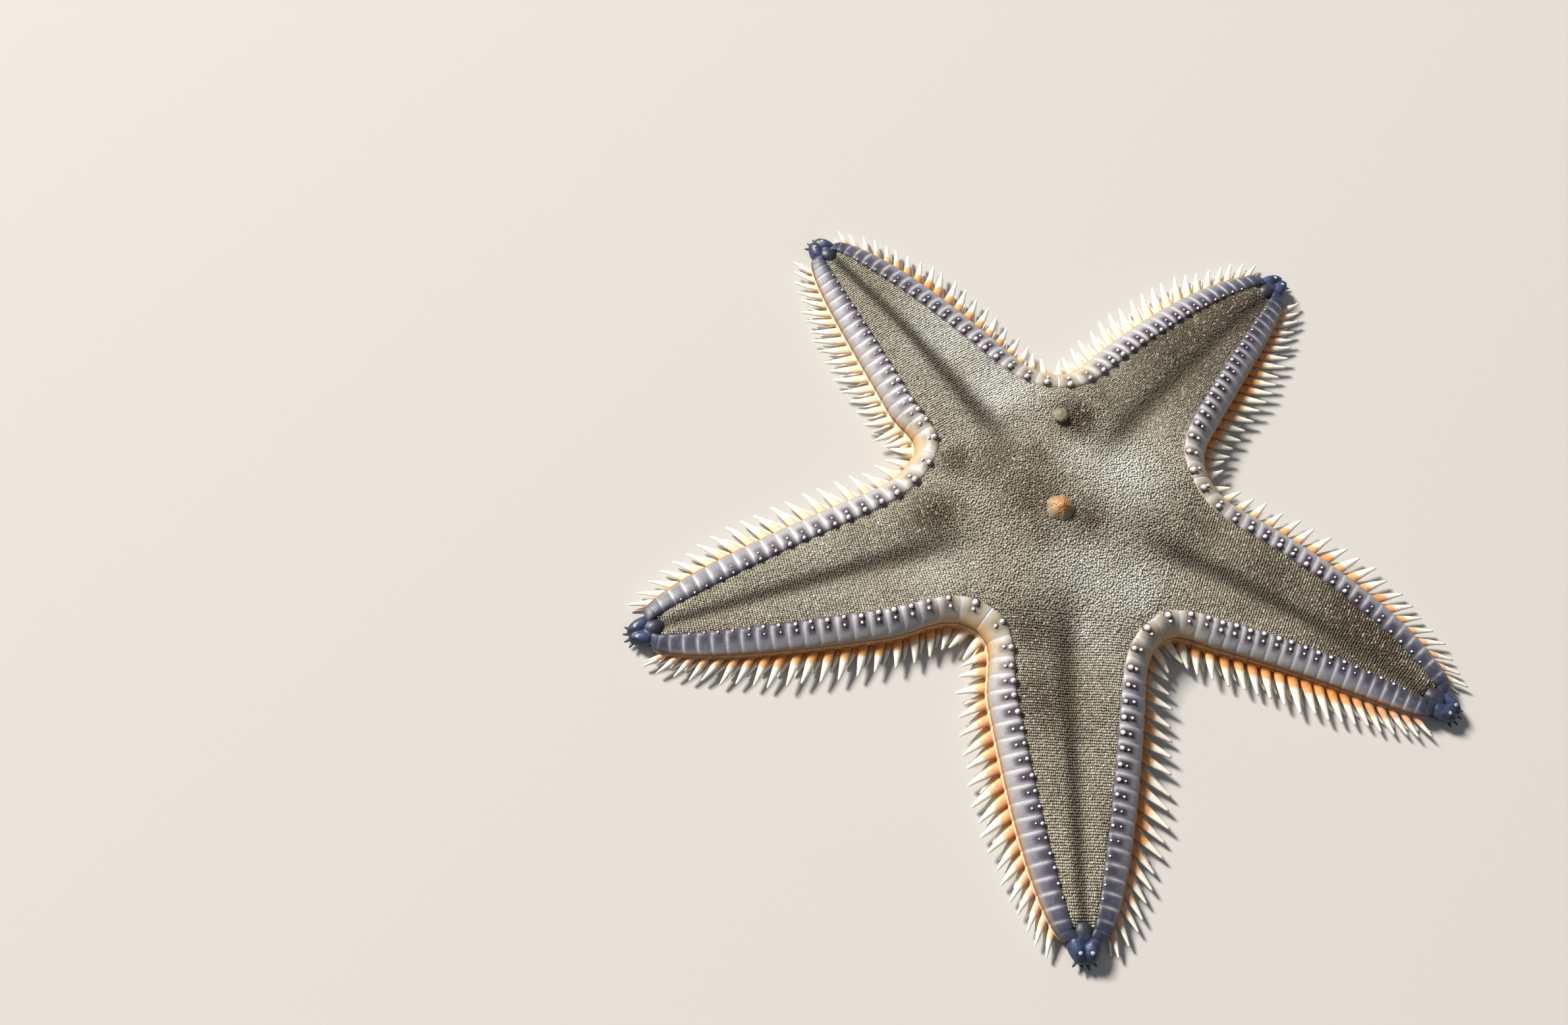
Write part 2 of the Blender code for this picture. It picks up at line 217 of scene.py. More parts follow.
def makeMaterial(name, markNames, ground, layers, roughness, ior, grain=None, patchDetail=3.0):
    # Paints layers over a ground. Each is the value that it follows, where that value starts
    # it and completes it, how much of it shows, and its colour. The value is one of the
    # piece's marks, the size of soft patches, or a value times a number plus a value.
    # The grain is the size and strength of the small round bumps of limy ossicles.
    made = bpy.data.materials.new(name)
    made.use_nodes = True
    tree = made.node_tree
    shader = tree.nodes["Principled BSDF"]
    place = addNode(tree, "ShaderNodeTexCoord").outputs["Object"]
    stored = addNode(tree, "ShaderNodeAttribute", attribute_name="marks").outputs
    parts = addNode(tree, "ShaderNodeSeparateColor", {"Color": stored["Color"]}).outputs
    marks = dict(zip(markNames, (parts["Red"], parts["Green"], parts["Blue"], stored["Alpha"])))

    def valueOf(value):
        if isinstance(value, str):
            return marks[value]
        if isinstance(value, tuple):
            inputs = {0: valueOf(value[0]), 1: value[1], 2: valueOf(value[2])}
            return addNode(tree, "ShaderNodeMath", inputs, operation="MULTIPLY_ADD").outputs[0]
        inputs = {"Vector": place, "Scale": 1 / value, "Detail": patchDetail}
        return addNode(tree, "ShaderNodeTexNoise", inputs).outputs["Fac"]

    painted = linearColour(ground)
    for value, start, full, amount, colour in layers:
        inputs = {"Value": valueOf(value), "From Min": start, "From Max": full, "To Max": amount}
        share = addNode(tree, "ShaderNodeMapRange", inputs, interpolation_type="SMOOTHSTEP")
        inputs = {0: share.outputs["Result"], 6: painted, 7: linearColour(colour)}
        painted = addNode(tree, "ShaderNodeMix", inputs, data_type="RGBA").outputs[2]
    tree.links.new(painted, shader.inputs["Base Color"])
    shader.inputs["Roughness"].default_value = roughness
    shader.inputs["IOR"].default_value = ior
    if grain:
        size, strength = grain
        inputs = {"Vector": place, "Scale": 1 / size}
        cells = addNode(tree, "ShaderNodeTexVoronoi", inputs, feature="SMOOTH_F1")
        inputs = {"Height": cells.outputs["Distance"], "Strength": strength, "Distance": size / 3}
        bump = addNode(tree, "ShaderNodeBump", inputs, invert=True)
        tree.links.new(bump.outputs["Normal"], shader.inputs["Normal"])
    return made


def mottled(name, first, second, patchSize, roughness, grain=(0.2 * mm, 0.5)):
    return makeMaterial(name, (), first, [(patchSize, 0.35, 0.68, 1.0, second)], roughness, 1.48, grain)


backMarks = ("midline", "dark", "bloom", "chance")
backLayers = [(6 * mm, 0.42, 0.70, 0.50, "#77715F"),
              (0.9 * mm, 0.48, 0.75, 0.35, "#B5B0A1"),
              # Partly painted light and shade: paler patches where the back swells or tilts to the light,
              # darker ones where it slopes away.
              ("bloom", 0.0, 1.0, 1.0, "#CBCFCB"),
              ("dark", 0.0, 1.0, 1.0, "#4F4433")]
# The dark midline stripe, partly painted shade of the trough along it.
midlineLayer = ("midline", 0.0, 1.0, 1.0, "#4D473B")
limeGrain = (0.14 * mm, 0.5)
streak = 0.4 * mm
streakLevel = ("chance", -0.12, (streak, 0.16, "level"))
materials = {
    # Thin skin between the paxillae, painted darker as the shade that falls in the gaps of the coat.
    "skin": makeMaterial("olive skin with painted shade between paxillae", backMarks, "#9A9585", backLayers + [
        midlineLayer,
        # Painted shade: the whole skin is darkened so that the gaps of the coat look shaded.
        ("chance", -1.0, 0.0, 0.35, "#4F4838")], 0.7, 1.45, limeGrain),
    # Limy, table-topped ossicles: chalky grey-olive tufts, a few dark, and a few painted pale as glints of
    # highlight.
    "paxillae": makeMaterial("limy paxillae", backMarks, "#9A9585", backLayers + [
        # Painted highlight: a few paxillae pale as glints.
        ("chance", 0.72, 1.0, 0.36, "#DAD7CE"),
        ("chance", 0.12, 0.0, 0.50, "#4F4838"),
        midlineLayer], 0.50, 1.45, limeGrain),
    # Calcite under thin skin: satin slate, tan in the arcs, blue at the tips, with a dark spot on every
    # plate and darker along the inner edge towards the tip. The pale lines at the joints are painted
    # highlight, and the brown lower edge is partly painted shade and warm reflection under the rim.
    "upperPlates": makeMaterial(
        "calcite plates under slate skin", ("along", "across", "fromMiddle", "spot"), "#ABA18C", [
            ("along", 0.04, 0.20, 1.0, "#939297"),
            ("along", 0.38, 0.72, 1.0, "#757685"),
            ("along", 0.66, 1.0, 1.0, "#434A5E"),
            (("across", -1.0, "along"), 0.02, 0.55, 0.80, "#494B5C"),
            # Painted highlight: pale lines along the joints.
            ("fromMiddle", 0.26, 0.46, 0.55, "#9E9FA4"),
            ("fromMiddle", 0.40, 0.49, 0.65, "#C0C1C7"),
            (0.5 * mm, 0.50, 0.80, 0.35, "#9C9DA2"),
            (0.5 * mm, 0.46, 0.26, 0.30, "#53525E"),
            (("across", -2.2, "along"), -0.15, 0.45, 0.75, "#3A3A43"),
            ("spot", 0.0, 1.0, 1.0, "#3B3340"),
            ("across", 0.64, 0.82, 0.60, "#998468"),
            (("along", -2.0, "across"), 0.34, 0.80, 0.80, "#AE8448"),
            # Partly painted shade and warm reflection: the brown lower edge under the rim.
            ("across", 0.78, 0.96, 0.85, "#74421D"),
            ("along", 0.90, 1.0, 0.75, "#242D45")], 0.48, 1.48, (0.16 * mm, 0.25)),
    # The plates below them: tan calcite in orange blotches, browner at the seam, where that is partly
    # painted shade under the upper plates, and paler on the rows whose sides face the light, which is
    # painted light.
    "lowerPlates": makeMaterial(
        "calcite plates under orange skin", ("along", "across", "fromMiddle", "bleached"), "#D2A874", [
            (0.6 * mm, 0.50, 0.70, 0.75, "#BE7634"),
            ("along", 0.62, 1.0, 0.7, "#8C7A74"),
            # Partly painted shade: browner at the seam under the upper plates.
            ("across", 0.18, 0.0, 0.45, "#8A5426"),
            # Painted light: paler on the rows whose sides face the light.
            ("bleached", 0.0, 1.0, 1.0, "#E2D3B8"),
            ("across", 0.40, 0.60, 1.0, "#D6C8AC")], 0.55, 1.5, (0.2 * mm, 0.5)),
    # Bare bone-white calcite with an orange sleeve of skin at the root, faintly streaked; painted paler, as
    # painted light, on the rows whose sides face the light.
    "spines": makeMaterial(
        "calcite spines with orange sleeve", ("level", "along", "bleached", "chance"), "#CA7C36", [
            (streakLevel, 0.18, 0.40, 0.8, "#DFAA70"),
            ("along", 0.60, 0.95, 0.75, "#D6AE92"),
            ("along", 0.10, 0.0, 0.65, "#E8D9BE"),
            # Painted light: paler on the rows whose sides face the light.
            ("bleached", 0.2, 1.0, 0.9, "#E8D8BC"),
            (streakLevel, 0.38, 0.54, 1.0, "#EAE5D8"),
            (streak, 0.50, 0.80, 0.30, "#BCB4A4")], 0.40, 1.5, patchDetail=2.0),
    # Bare polished calcite that rises from the dark spot, painted near white towards its top as a
    # highlight: the small bright glints.
    "tubercles": makeMaterial("polished calcite tubercles", ("height",), "#54464F", [
        ("height", 0.03, 0.30, 1.0, "#A3969B"),
        # Painted highlight: the top near white.
        ("height", 0.28, 0.62, 1.0, "#EFEAE8")], 0.13, 1.52),
    # Thick deep blue skin over the last plate of each arm, which darkens to its tip and is darker low down;
    # its back behind the lobes is painted dark as shade.
    "terminal": makeMaterial("calcite under deep blue skin", ("along", "height"), "#36415F", [
        (0.7 * mm, 0.42, 0.68, 0.85, "#1F2638"),
        ("along", 0.48, 0.92, 0.80, "#1A1F2B"),
        ("height", 0.50, 0.10, 0.90, "#1B1E26"),
        # Painted shade: dark at the back behind the lobes.
        ("along", 0.30, 0.05, 0.90, "#2C2B30")], 0.44, 1.45, (0.2 * mm, 0.35)),
    # Soft tan skin that fades into the coat.
    "cone": makeMaterial("soft tan skin", ("out",), "#A5713E", [
        (0.4 * mm, 0.38, 0.66, 0.8, "#A58C66"),
        ("out", 0.45, 0.95, 0.9, "#7E7764")], 0.5, 1.45, limeGrain),
    # The rest are one calcite or skin in two tones: glossy where wet, matt where limy.
    # Partly painted highlight: pale spots on the terminal lobes stand in for their highlights.
    "spots": mottled("pale spots partly painted as highlights", "#7F8DAA", "#AAB4C8", 0.3 * mm, 0.12, (0.3 * mm, 0.1)),
    "sieve": mottled("madreporite calcite", "#6B6553", "#8B8570", 0.5 * mm, 0.6),
    "oralSkin": mottled("pale oral skin", "#B59A72", "#CDB792", 1.2 * mm, 0.6),
    "oralPlates": mottled("pale calcite oral plates", "#CBB995", "#DCCFB2", 0.8 * mm, 0.55),
    "furrowSpines": mottled("pale furrow spines", "#D5B888", "#E4D6BA", 0.8 * mm, 0.5),
    "tubeFeet": mottled("wet tube feet", "#C98F4E", "#DDB27C", 0.6 * mm, 0.25, (0.3 * mm, 0.2)),
}
# A little light passes into the thin spines and warms them.
spineShader = materials["spines"].node_tree.nodes["Principled BSDF"]
spineShader.inputs["Subsurface Weight"].default_value = 0.10
spineShader.inputs["Subsurface Radius"].default_value = (0.6 * mm, 0.4 * mm, 0.25 * mm)
print("materials made")


def templateFrom(source):
    # Takes a modelled shape off the scene as plain vertices and faces.
    points = np.array([vertex.co + source.location for vertex in source.data.vertices])
    faces = [tuple(polygon.vertices) for polygon in source.data.polygons]
    bpy.data.objects.remove(source, do_unlink=True)
    return points, faces


def blockTemplate():
    # A small rounded block of unit size.
    bpy.ops.mesh.primitive_cube_add(size=1)
    bpy.ops.object.mode_set(mode="EDIT")
    bpy.ops.mesh.subdivide(number_cuts=2)
    bpy.ops.mesh.vertices_smooth(factor=0.5, repeat=1)
    bpy.ops.object.mode_set(mode="OBJECT")
    points, faces = templateFrom(bpy.context.object)
    return points / np.ptp(points, axis=0), faces


def beadTemplate(detail):
    bpy.ops.mesh.primitive_ico_sphere_add(subdivisions=detail, radius=1)
    return templateFrom(bpy.context.object)


def turnedTemplate(sides, profile, cone=False, flatness=0.0):
    # A shape of unit length along Z, with a ring of edges at each height of its profile.
    # The profile gives the radius there of a cone, or the share of a cylinder's width.
    form = {"vertices": sides, "depth": 1.0, "location": (0, 0, 0.5)}
    if cone:
        bpy.ops.mesh.primitive_cone_add(radius1=1.0, radius2=0.0, end_fill_type="NGON", **form)
    else:
        bpy.ops.mesh.primitive_cylinder_add(radius=0.5, end_fill_type="TRIFAN", **form)
    levels, widths = zip(*profile)
    bpy.ops.object.mode_set(mode="EDIT")
    for level in levels[1:-1]:
        bpy.ops.mesh.select_all(action="SELECT")
        bpy.ops.mesh.bisect(plane_co=(0, 0, level), plane_no=(0, 0, 1))
    bpy.ops.object.mode_set(mode="OBJECT")
    points, faces = templateFrom(bpy.context.object)
    width = np.interp(points[:, 2], levels, widths)
    if cone:
        width /= np.maximum(np.hypot(points[:, 0], points[:, 1]), 1e-6)
    points[:, 0] *= width
    points[:, 1] *= mix(width, 1.0, flatness)
    return points, faces


def paxillaTemplate(petals):
    # A short column that flares to a crown of petals round a low dome.
    points, faces = turnedTemplate(2 * petals, ((0, 0.55), (0.5, 1.0), (1, 0.0)), cone=True)
    crown = np.isclose(points[:, 2], 0.5, atol=0.01)
    turn = np.arctan2(points[crown, 1], points[crown, 0])
    petal = 0.5 + 0.5 * np.cos(petals * (turn - turn[0]))
    points[crown, :2] *= (0.84 + 0.20 * petal)[:, None]
    points[crown, 2] = 0.74 + 0.08 * petal
    return points, faces


footRings = np.arange(8)
footWidths = np.interp(footRings / 7, [0, 0.7, 0.84, 1.0], [1.0, 0.62, 0.66, 0.14])
footWidths *= 1 + 0.06 * np.cos(footRings * np.pi)
templates = {
    "block": blockTemplate(),
    "paxilla": paxillaTemplate(4),
    # A flattened spine, square at the shoulder and blunt at the point, and a stubby one.
    "blade": turnedTemplate(8, ((0, 0.94), (0.1, 1.0), (0.28, 0.95), (0.45, 0.82), (0.62, 0.66),
                                (0.78, 0.48), (0.92, 0.32), (1.0, 0.18)), flatness=0.35),
    "spinelet": turnedTemplate(5, ((0, 0.75), (0.4, 1.0), (0.8, 0.78), (1.0, 0.30))),
    # A low cone with a rounded top, and a scale pointed like a small tent.
    "tubercle": turnedTemplate(10, ((0, 1.45), (0.2, 1.0), (0.45, 0.86), (0.7, 0.72), (0.88, 0.42),
                                    (1, 0)), cone=True),
    "scale": turnedTemplate(6, ((0, 0.5), (1, 0)), cone=True),
    "bead": beadTemplate(2),
    "grain": beadTemplate(1),
    # A soft pointed tube foot with faint rings.
    "foot": turnedTemplate(8, list(zip(footRings / 7, footWidths))),
}
print("templates made:", {name: len(faces) for name, (points, faces) in templates.items()})


def buildPiece(name, points, faces, material, marks=None, bakeMap=None):
    # One object at the origin, with its marks and its bake map.
    mesh = bpy.data.meshes.new(name)
    mesh.from_pydata([tuple(point) for point in points], [], faces)
    mesh.validate()
    mesh.update()
    mesh.materials.append(materials[material])
    mesh.shade_smooth()
    if marks is not None:
        layer = mesh.attributes.new("marks", "FLOAT_COLOR", "POINT")
        layer.data.foreach_set("color", np.asarray(marks, dtype=np.float32).ravel())
    if bakeMap is None:
        low, high = points.min(0), points.max(0)
        bakeMap = (points[:, :2] - low[:2]) / (high[:2] - low[:2]).max()
    corners = np.empty(len(mesh.loops), dtype=np.int32)
    mesh.loops.foreach_get("vertex_index", corners)
    layer = mesh.uv_layers.new(name="OFBake")
    layer.data.foreach_set("uv", bakeMap.astype(np.float32)[corners].ravel())
    made = bpy.data.objects.new(name, mesh)
    bpy.context.scene.collection.objects.link(made)
    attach(made, "root")
    return made


floorGap = 0.05 * mm


def standCopies(name, shape, roots, axes, sizes, material, slot, marks=0.5, sunk=0.0, bends=0.0, spins=0.0):
    # One piece of many copies, which stand on their roots along their axes. Sizes are width,
    # thickness and length. Each copy is a small patch at its root's place on the bake map.
    points, faces = templates[shape]
    roots, axes = np.asarray(roots, float), unit(np.asarray(axes, float))
    side = np.cross([0.0, 0.0, 1.0], axes)
    side[np.linalg.norm(side, axis=1) < 1e-3] = [1.0, 0.0, 0.0]
    side = unit(side)
    up = np.cross(axes, side)
    turn = np.broadcast_to(spins, len(roots))[:, None]
    side, up = side * np.cos(turn) + up * np.sin(turn), up * np.cos(turn) - side * np.sin(turn)
    local = points * np.asarray(sizes, float)[:, None]
    spots = ((roots - sunk)[:, None] + local[..., 0:1] * side[:, None] + local[..., 1:2] * up[:, None]
             + local[..., 2:3] * axes[:, None])
    spots = spots + np.broadcast_to(bends, roots.shape)[:, None] * points[:, 2:3] ** 2
    spots[..., 2] = np.maximum(spots[..., 2], floorGap)
    joined = [tuple(corner + shift for corner in face)
              for shift in range(0, len(roots) * len(points), len(points)) for face in faces]
    patch = (points[:, :2] - points[:, :2].min(0)) / np.ptp(points[:, :2], axis=0)
    spread = np.ptp(roots, axis=0).max()
    bake = 0.002 + 0.994 * (roots - roots.min(0))[:, None, :2] / spread + 0.003 * patch
    marks = np.broadcast_to(marks, (len(roots), len(points), 4))
    buildPiece(name, spots.reshape(-1, 3), joined, material, marks, bake.reshape(-1, 2))


def armCoordinates(spots):
    # For each point: share along and offset from the nearest arm's axis, and that arm.
    lengths, headings = reach * np.array(starPlan["armLengths"]), np.array(starPlan["armHeadings"])
    squares, cubes = np.array(starPlan["armBends"]).T
    share = (spots - starCentre) @ heading(headings).T / lengths
    bend = lengths * (squares * share ** 2 + cubes * share ** 3)
    offset = (spots - starCentre) @ heading(headings + 90).T - bend
    nearest = (np.abs(offset) + (share < 0)).argmin(axis=1)
    each = np.arange(len(spots))
    return share[each, nearest], offset[each, nearest], nearest


# Markings and painted light and shade of the back, for skin and coat alike: the soft dark midline, which
# wanders to one side on some arms and is partly painted shade of the trough along it; darker patches,
# partly painted shade where the back slopes away from the light; and paler patches, partly painted light
# where it swells or tilts towards the light. A patch is its heading, distance from the centre, size and
# amount.
markingsAndShading = {
    "midlineShifts": (0.0, -0.9 * mm, -1.0 * mm, 0.0, 0.0),
    "midlineDrift": (0.28, 0.62),
    "midlineStart": (0.10, 0.34),
    "midlineWidth": ((0.15, 2.6 * mm), (0.35, 1.7 * mm), (0.6, 1.15 * mm), (0.95, 0.75 * mm)),
    "midlineDepth": 0.86,
    "tipFade": 0.35,
    "darkAndShadedPatches": [(150, 0.275, 0.060, 0.80), (180, 0.295, 0.070, 1.0), (138, 0.20, 0.08, 0.65),
                    (74, 0.265, 0.065, 1.0), (150, 0.07, 0.10, 0.75), (-20, 0.07, 0.07, 0.75),
                    (235, 0.07, 0.06, 0.60), (108, 0.15, 0.06, 0.60), (107, 0.27, 0.06, 0.35),
                    (254, 0.30, 0.085, 0.70), (260, 0.46, 0.11, 0.65), (262, 0.62, 0.12, 0.30),
                    (64, 0.36, 0.10, 0.45), (-6, 0.36, 0.10, 0.50), (-28, 0.48, 0.07, 0.45),
                    (-15, 0.54, 0.16, 0.70), (-18, 0.80, 0.24, 1.0), (53, 0.62, 0.22, 0.80),
                    (50, 0.85, 0.24, 0.90)],
    "paleAndLitPatches": [(-70, 0.17, 0.13, 0.50), (32, 0.20, 0.13, 0.60), (206, 0.33, 0.11, 0.35),
               (108, 0.38, 0.14, 0.65), (112, 0.58, 0.17, 0.65), (196, 0.60, 0.24, 0.25),
               (-77, 0.34, 0.10, 0.30), (66, 0.15, 0.07, 0.50), (-52, 0.25, 0.10, 0.60),
               (-84, 0.29, 0.05, 0.55)],
}


def midlineCoordinates(spots):
    share, offset, nearest = armCoordinates(spots)
    shift = np.array(markingsAndShading["midlineShifts"])[nearest]
    return share, offset - shift * smoothStep(*markingsAndShading["midlineDrift"], share)


def patchAmount(spots, patches):
    ways, distances, sizes, amounts = np.array(patches).T
    centres = heading(ways) * distances[:, None] * reach + starCentre
    apart = np.linalg.norm(spots[:, None] - centres, axis=-1) / (sizes * reach)
    return (amounts * np.exp(-apart ** 2)).max(axis=1)


def markSpots(spots, chance):
    share, offset = midlineCoordinates(spots)
    width = np.interp(share, *zip(*markingsAndShading["midlineWidth"]))
    midline = np.exp(-(offset / width) ** 2) * smoothStep(*markingsAndShading["midlineStart"], share)
    midline *= markingsAndShading["midlineDepth"] * (1 - markingsAndShading["tipFade"] * smoothStep(0.9, 1.0, share))
    dark, bloom = (patchAmount(spots, markingsAndShading[name]) for name in ("darkAndShadedPatches", "paleAndLitPatches"))
    return stacked(midline, dark, bloom, chance)


# Plan grid shared by the back and the underside: arms between their margins, and the disc.
planGrid = {"along": 90, "across": 30, "rings": 26, "tightening": 1.15, "sameSpot": 2e-3 * mm}


def makePlanGrid():
    # Points, faces, the edges of the rim, and for each point its share of the arm, or less
    # than nothing on the disc, and its share across.
    spots, quads, params = [], [], []

    def addBlock(block, values):
        start = sum(len(part) for part in spots)
        spots.append(block.reshape(-1, 2))
        params.append(stacked(*values).reshape(-1, 2))
        rows, columns = block.shape[:2]
        for first in (start + i * columns + j for i in range(rows - 1) for j in range(columns - 1)):
            quads.append((first, first + columns, first + columns + 1, first + 1))

    u = np.linspace(0, 1, planGrid["along"] + 1)[:, None] ** planGrid["tightening"]
    v = np.linspace(-1, 1, planGrid["across"] + 1)[None, :]
    share = (v[..., None] + 1) / 2
    ring = np.linspace(0, 1, planGrid["rings"] + 1)[1:, None]
    for arm in range(armCount):
        left, right = (alongEdge(margins[arm, side][0], u) for side in (1, -1))
        block = right * (1 - share) + left * share
        addBlock(block, (u, v))
        addBlock(block[0] * ring[..., None], (ring - 1, v))
    spots, params = np.vstack(spots), np.vstack(params)
    corners = {}
    keys = [tuple(key) for key in np.round(spots / planGrid["sameSpot"]).astype(int)]
    lookup = np.array([corners.setdefault(key, len(corners)) for key in keys])
    kept = np.unique(lookup, return_index=True)[1]
    faces = [tuple(face) for face in lookup[np.array(quads)].tolist()]
    hub = len(kept)
    spots = np.vstack([spots[kept], [[0.0, 0.0]]])
    params = np.vstack([params[kept], [[-1.0, 0.0]]])
    edges = dict.fromkeys(pair for face in faces for pair in zip(face, face[1:] + face[:1]))
    rim = [(a, b) for a, b in edges if (b, a) not in edges]
    inner = [(a, b) for a, b in rim if np.linalg.norm(spots[a]) < 0.02 * reach]
    faces += [(b, a, hub) for a, b in inner]
    rim = [pair for pair in rim if pair not in inner]
    return spots + starCentre, faces, params, rim


planSpots, planFaces, planParams, planRim = makePlanGrid()
print("plan grid:", len(planSpots), "points,", len(planRim), "rim edges")


def settle(values, rounds, pinned):
    # Evens out the heights over the grid, with the rim held.
    a, b = np.array([pair for face in planFaces for pair in zip(face, face[1:] + face[:1])]).T
    count = len(values)
    beside = np.bincount(a, minlength=count) + np.bincount(b, minlength=count)
    for _ in range(rounds):
        total = np.bincount(a, values[b], count) + np.bincount(b, values[a], count)
        values = np.where(pinned, values, 0.4 * values + 0.6 * total / beside)
    return values


# The back sags to the midline of each arm, most of all where the arm leaves the disc.
backShape = {"coatDepth": 0.26 * mm, "crown": 2.2, "discCrown": 1.7, "settling": 60,
             "troughStations": (0.14, 0.34, 0.50, 0.75, 1.0),
             "troughDepths": (0.0, 1.35 * mm, 1.05 * mm, 0.55 * mm, 0.2 * mm), "troughWidth": 0.62,
             "creaseDepth": 0.16 * mm, "creaseWidth": 0.9 * mm, "swell": 0.22 * mm, "swellSize": 7 * mm,
             "tipDip": 0.6 * mm, "underside": 1.6 * mm}


def backHeights():
    u, v = np.maximum(planParams[:, 0], 0), np.abs(planParams[:, 1])
    ring = np.where(planParams[:, 0] < 0, planParams[:, 0] + 1, 1)
    rim = mix(*starPlan["rimHeight"], u)
    top = mix(*starPlan["backHeight"], u)
    height = rim + (top - rim) * (1 - v ** backShape["crown"])
    dome = (starPlan["discHeight"] - height) * (1 - ring ** backShape["discCrown"])
    height = np.where(ring < 1, height + dome, height)
    height[-1] = starPlan["discHeight"]
    onRim = np.zeros(len(height), bool)
    onRim[[a for a, b in planRim]] = True
    height = settle(height, backShape["settling"], onRim)
    share, offset = midlineCoordinates(planSpots)
    width, taper = starPlan["innerWidth"]
    halfWidth = width * reach * np.clip(1 - share, 0.05, 0.72) ** taper
    trough = np.exp(-(offset / (halfWidth * backShape["troughWidth"])) ** 2)
    crease = np.exp(-(offset / backShape["creaseWidth"]) ** 2) * smoothStep(0.2, 0.4, share)
    height = height - trough * np.interp(share, backShape["troughStations"], backShape["troughDepths"])
    height = height - backShape["creaseDepth"] * crease * (1 - smoothStep(0.85, 1.0, share))
    size = backShape["swellSize"]
    swell = np.array([noise.noise(Vector((x / size, y / size, 0.3))) for x, y in planSpots])
    height = height + backShape["swell"] * swell * np.where(onRim, 0, 1)
    height = height - backShape["tipDip"] * smoothStep(0.955, 1.0, u) * (1 - v ** 4)
    return height - backShape["coatDepth"]


def shellPoints(top, bottom):
    return np.vstack([raised(planSpots, top), raised(planSpots, bottom)])


# A shell's top and its underside share the plan grid. The top comes first.
under = len(planSpots)
shellFaces = planFaces + [tuple(corner + under for corner in face[::-1]) for face in planFaces]
shellFaces += [(b, a, a + under, b + under) for a, b in planRim]

skinPoints = shellPoints(backHeights(), backShape["underside"])
skinMarks = markSpots(skinPoints[:, :2], 0.3)
skin = buildPiece("aboral_skin", skinPoints, shellFaces, "skin", skinMarks)
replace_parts(skin, "disc_body", *[f"arm_{i}_body" for i in range(1, armCount + 1)])
skinTree = BVHTree.FromPolygons([Vector(point) for point in skinPoints[:len(planSpots)]], planFaces)
print("skin made")


def skinBelow(x, y):
    # The point of the back over a spot, and its normal; nothing outside the back.
    return skinTree.ray_cast(Vector((x, y, 20 * mm)), Vector((0, 0, -1)))[:2]


# Paxillae: rows across each arm, and an even scatter over the disc that closes up to them.
paxillaCoat = {"rowPitch": 0.310 * mm, "rowStart": 0.4, "pitch": 0.238 * mm, "discSpacing": 0.237 * mm,
               "radius": 0.168 * mm, "height": 0.20 * mm, "sink": 0.06 * mm, "jitter": 0.13,
               "arcJitter": 0.24, "arcShare": 0.16, "coneRoom": 1.1 * mm, "tries": 140000, "tilt": 0.28,
               "widths": (0.78, 1.18), "heights": (0.78, 1.20), "tipWidth": 0.88}


def armPaxillae(arm):
    edges = [margins[arm, side][0] for side in (-1, 1)]
    dense = np.linspace(0.0, 0.999, 400)
    travelled = stepsAlong(sum(alongEdge(edge, dense) for edge in edges) / 2)
    pitch = paxillaCoat["rowPitch"]
    rows = np.arange(paxillaCoat["rowStart"] * pitch, travelled[-1], pitch)
    spots, shares = [], []
    for u in np.interp(rows, travelled, dense):
        near, far = (alongEdge(edge, u) for edge in edges)
        count = max(2, int(round(np.linalg.norm(far - near) / paxillaCoat["pitch"])))
        share = (np.arange(count) + random.uniform(0.1, 0.9)) / count
        spot = near + (far - near) * share[:, None]
        atArc = 1 - smoothStep(0.0, paxillaCoat["arcShare"], u)
        loose = paxillaCoat["jitter"] + paxillaCoat["arcJitter"] * atArc
        spots.append(spot + random.uniform(-1, 1, spot.shape) * loose * paxillaCoat["pitch"])
        shares.append(np.full(count, u))
    return np.vstack(spots) + starCentre, np.concatenate(shares)


def discPaxillae(taken):
    # Random spots, each kept if it has room beside those that are there.
    corners = np.array([arcBeside(arm, 1)[0] for arm in range(armCount)])
    room = paxillaCoat["discSpacing"]
    extent = np.abs(corners).max()
    tries = random.uniform(-extent, extent, (paxillaCoat["tries"], 2))
    inside = np.linalg.norm(tries, axis=1) > paxillaCoat["coneRoom"]
    for a, b in zip(corners, np.roll(corners, -1, axis=0)):
        way = unit(b - a)
        inside &= way[0] * (tries[:, 1] - a[1]) - way[1] * (tries[:, 0] - a[0]) > 0
    cells = {}
    for x, y in taken - starCentre:
        cells.setdefault((int(x // room), int(y // room)), []).append((x, y))
    spots = []
    for x, y in tries[inside]:
        column, row = int(x // room), int(y // room)
        around = [(column + i, row + j) for i in (-1, 0, 1) for j in (-1, 0, 1)]
        near = [spot for cell in around for spot in cells.get(cell, ())]
        if all((x - a) ** 2 + (y - b) ** 2 > room ** 2 for a, b in near):
            cells.setdefault((column, row), []).append((x, y))
            spots.append((x, y))
    return np.array(spots) + starCentre


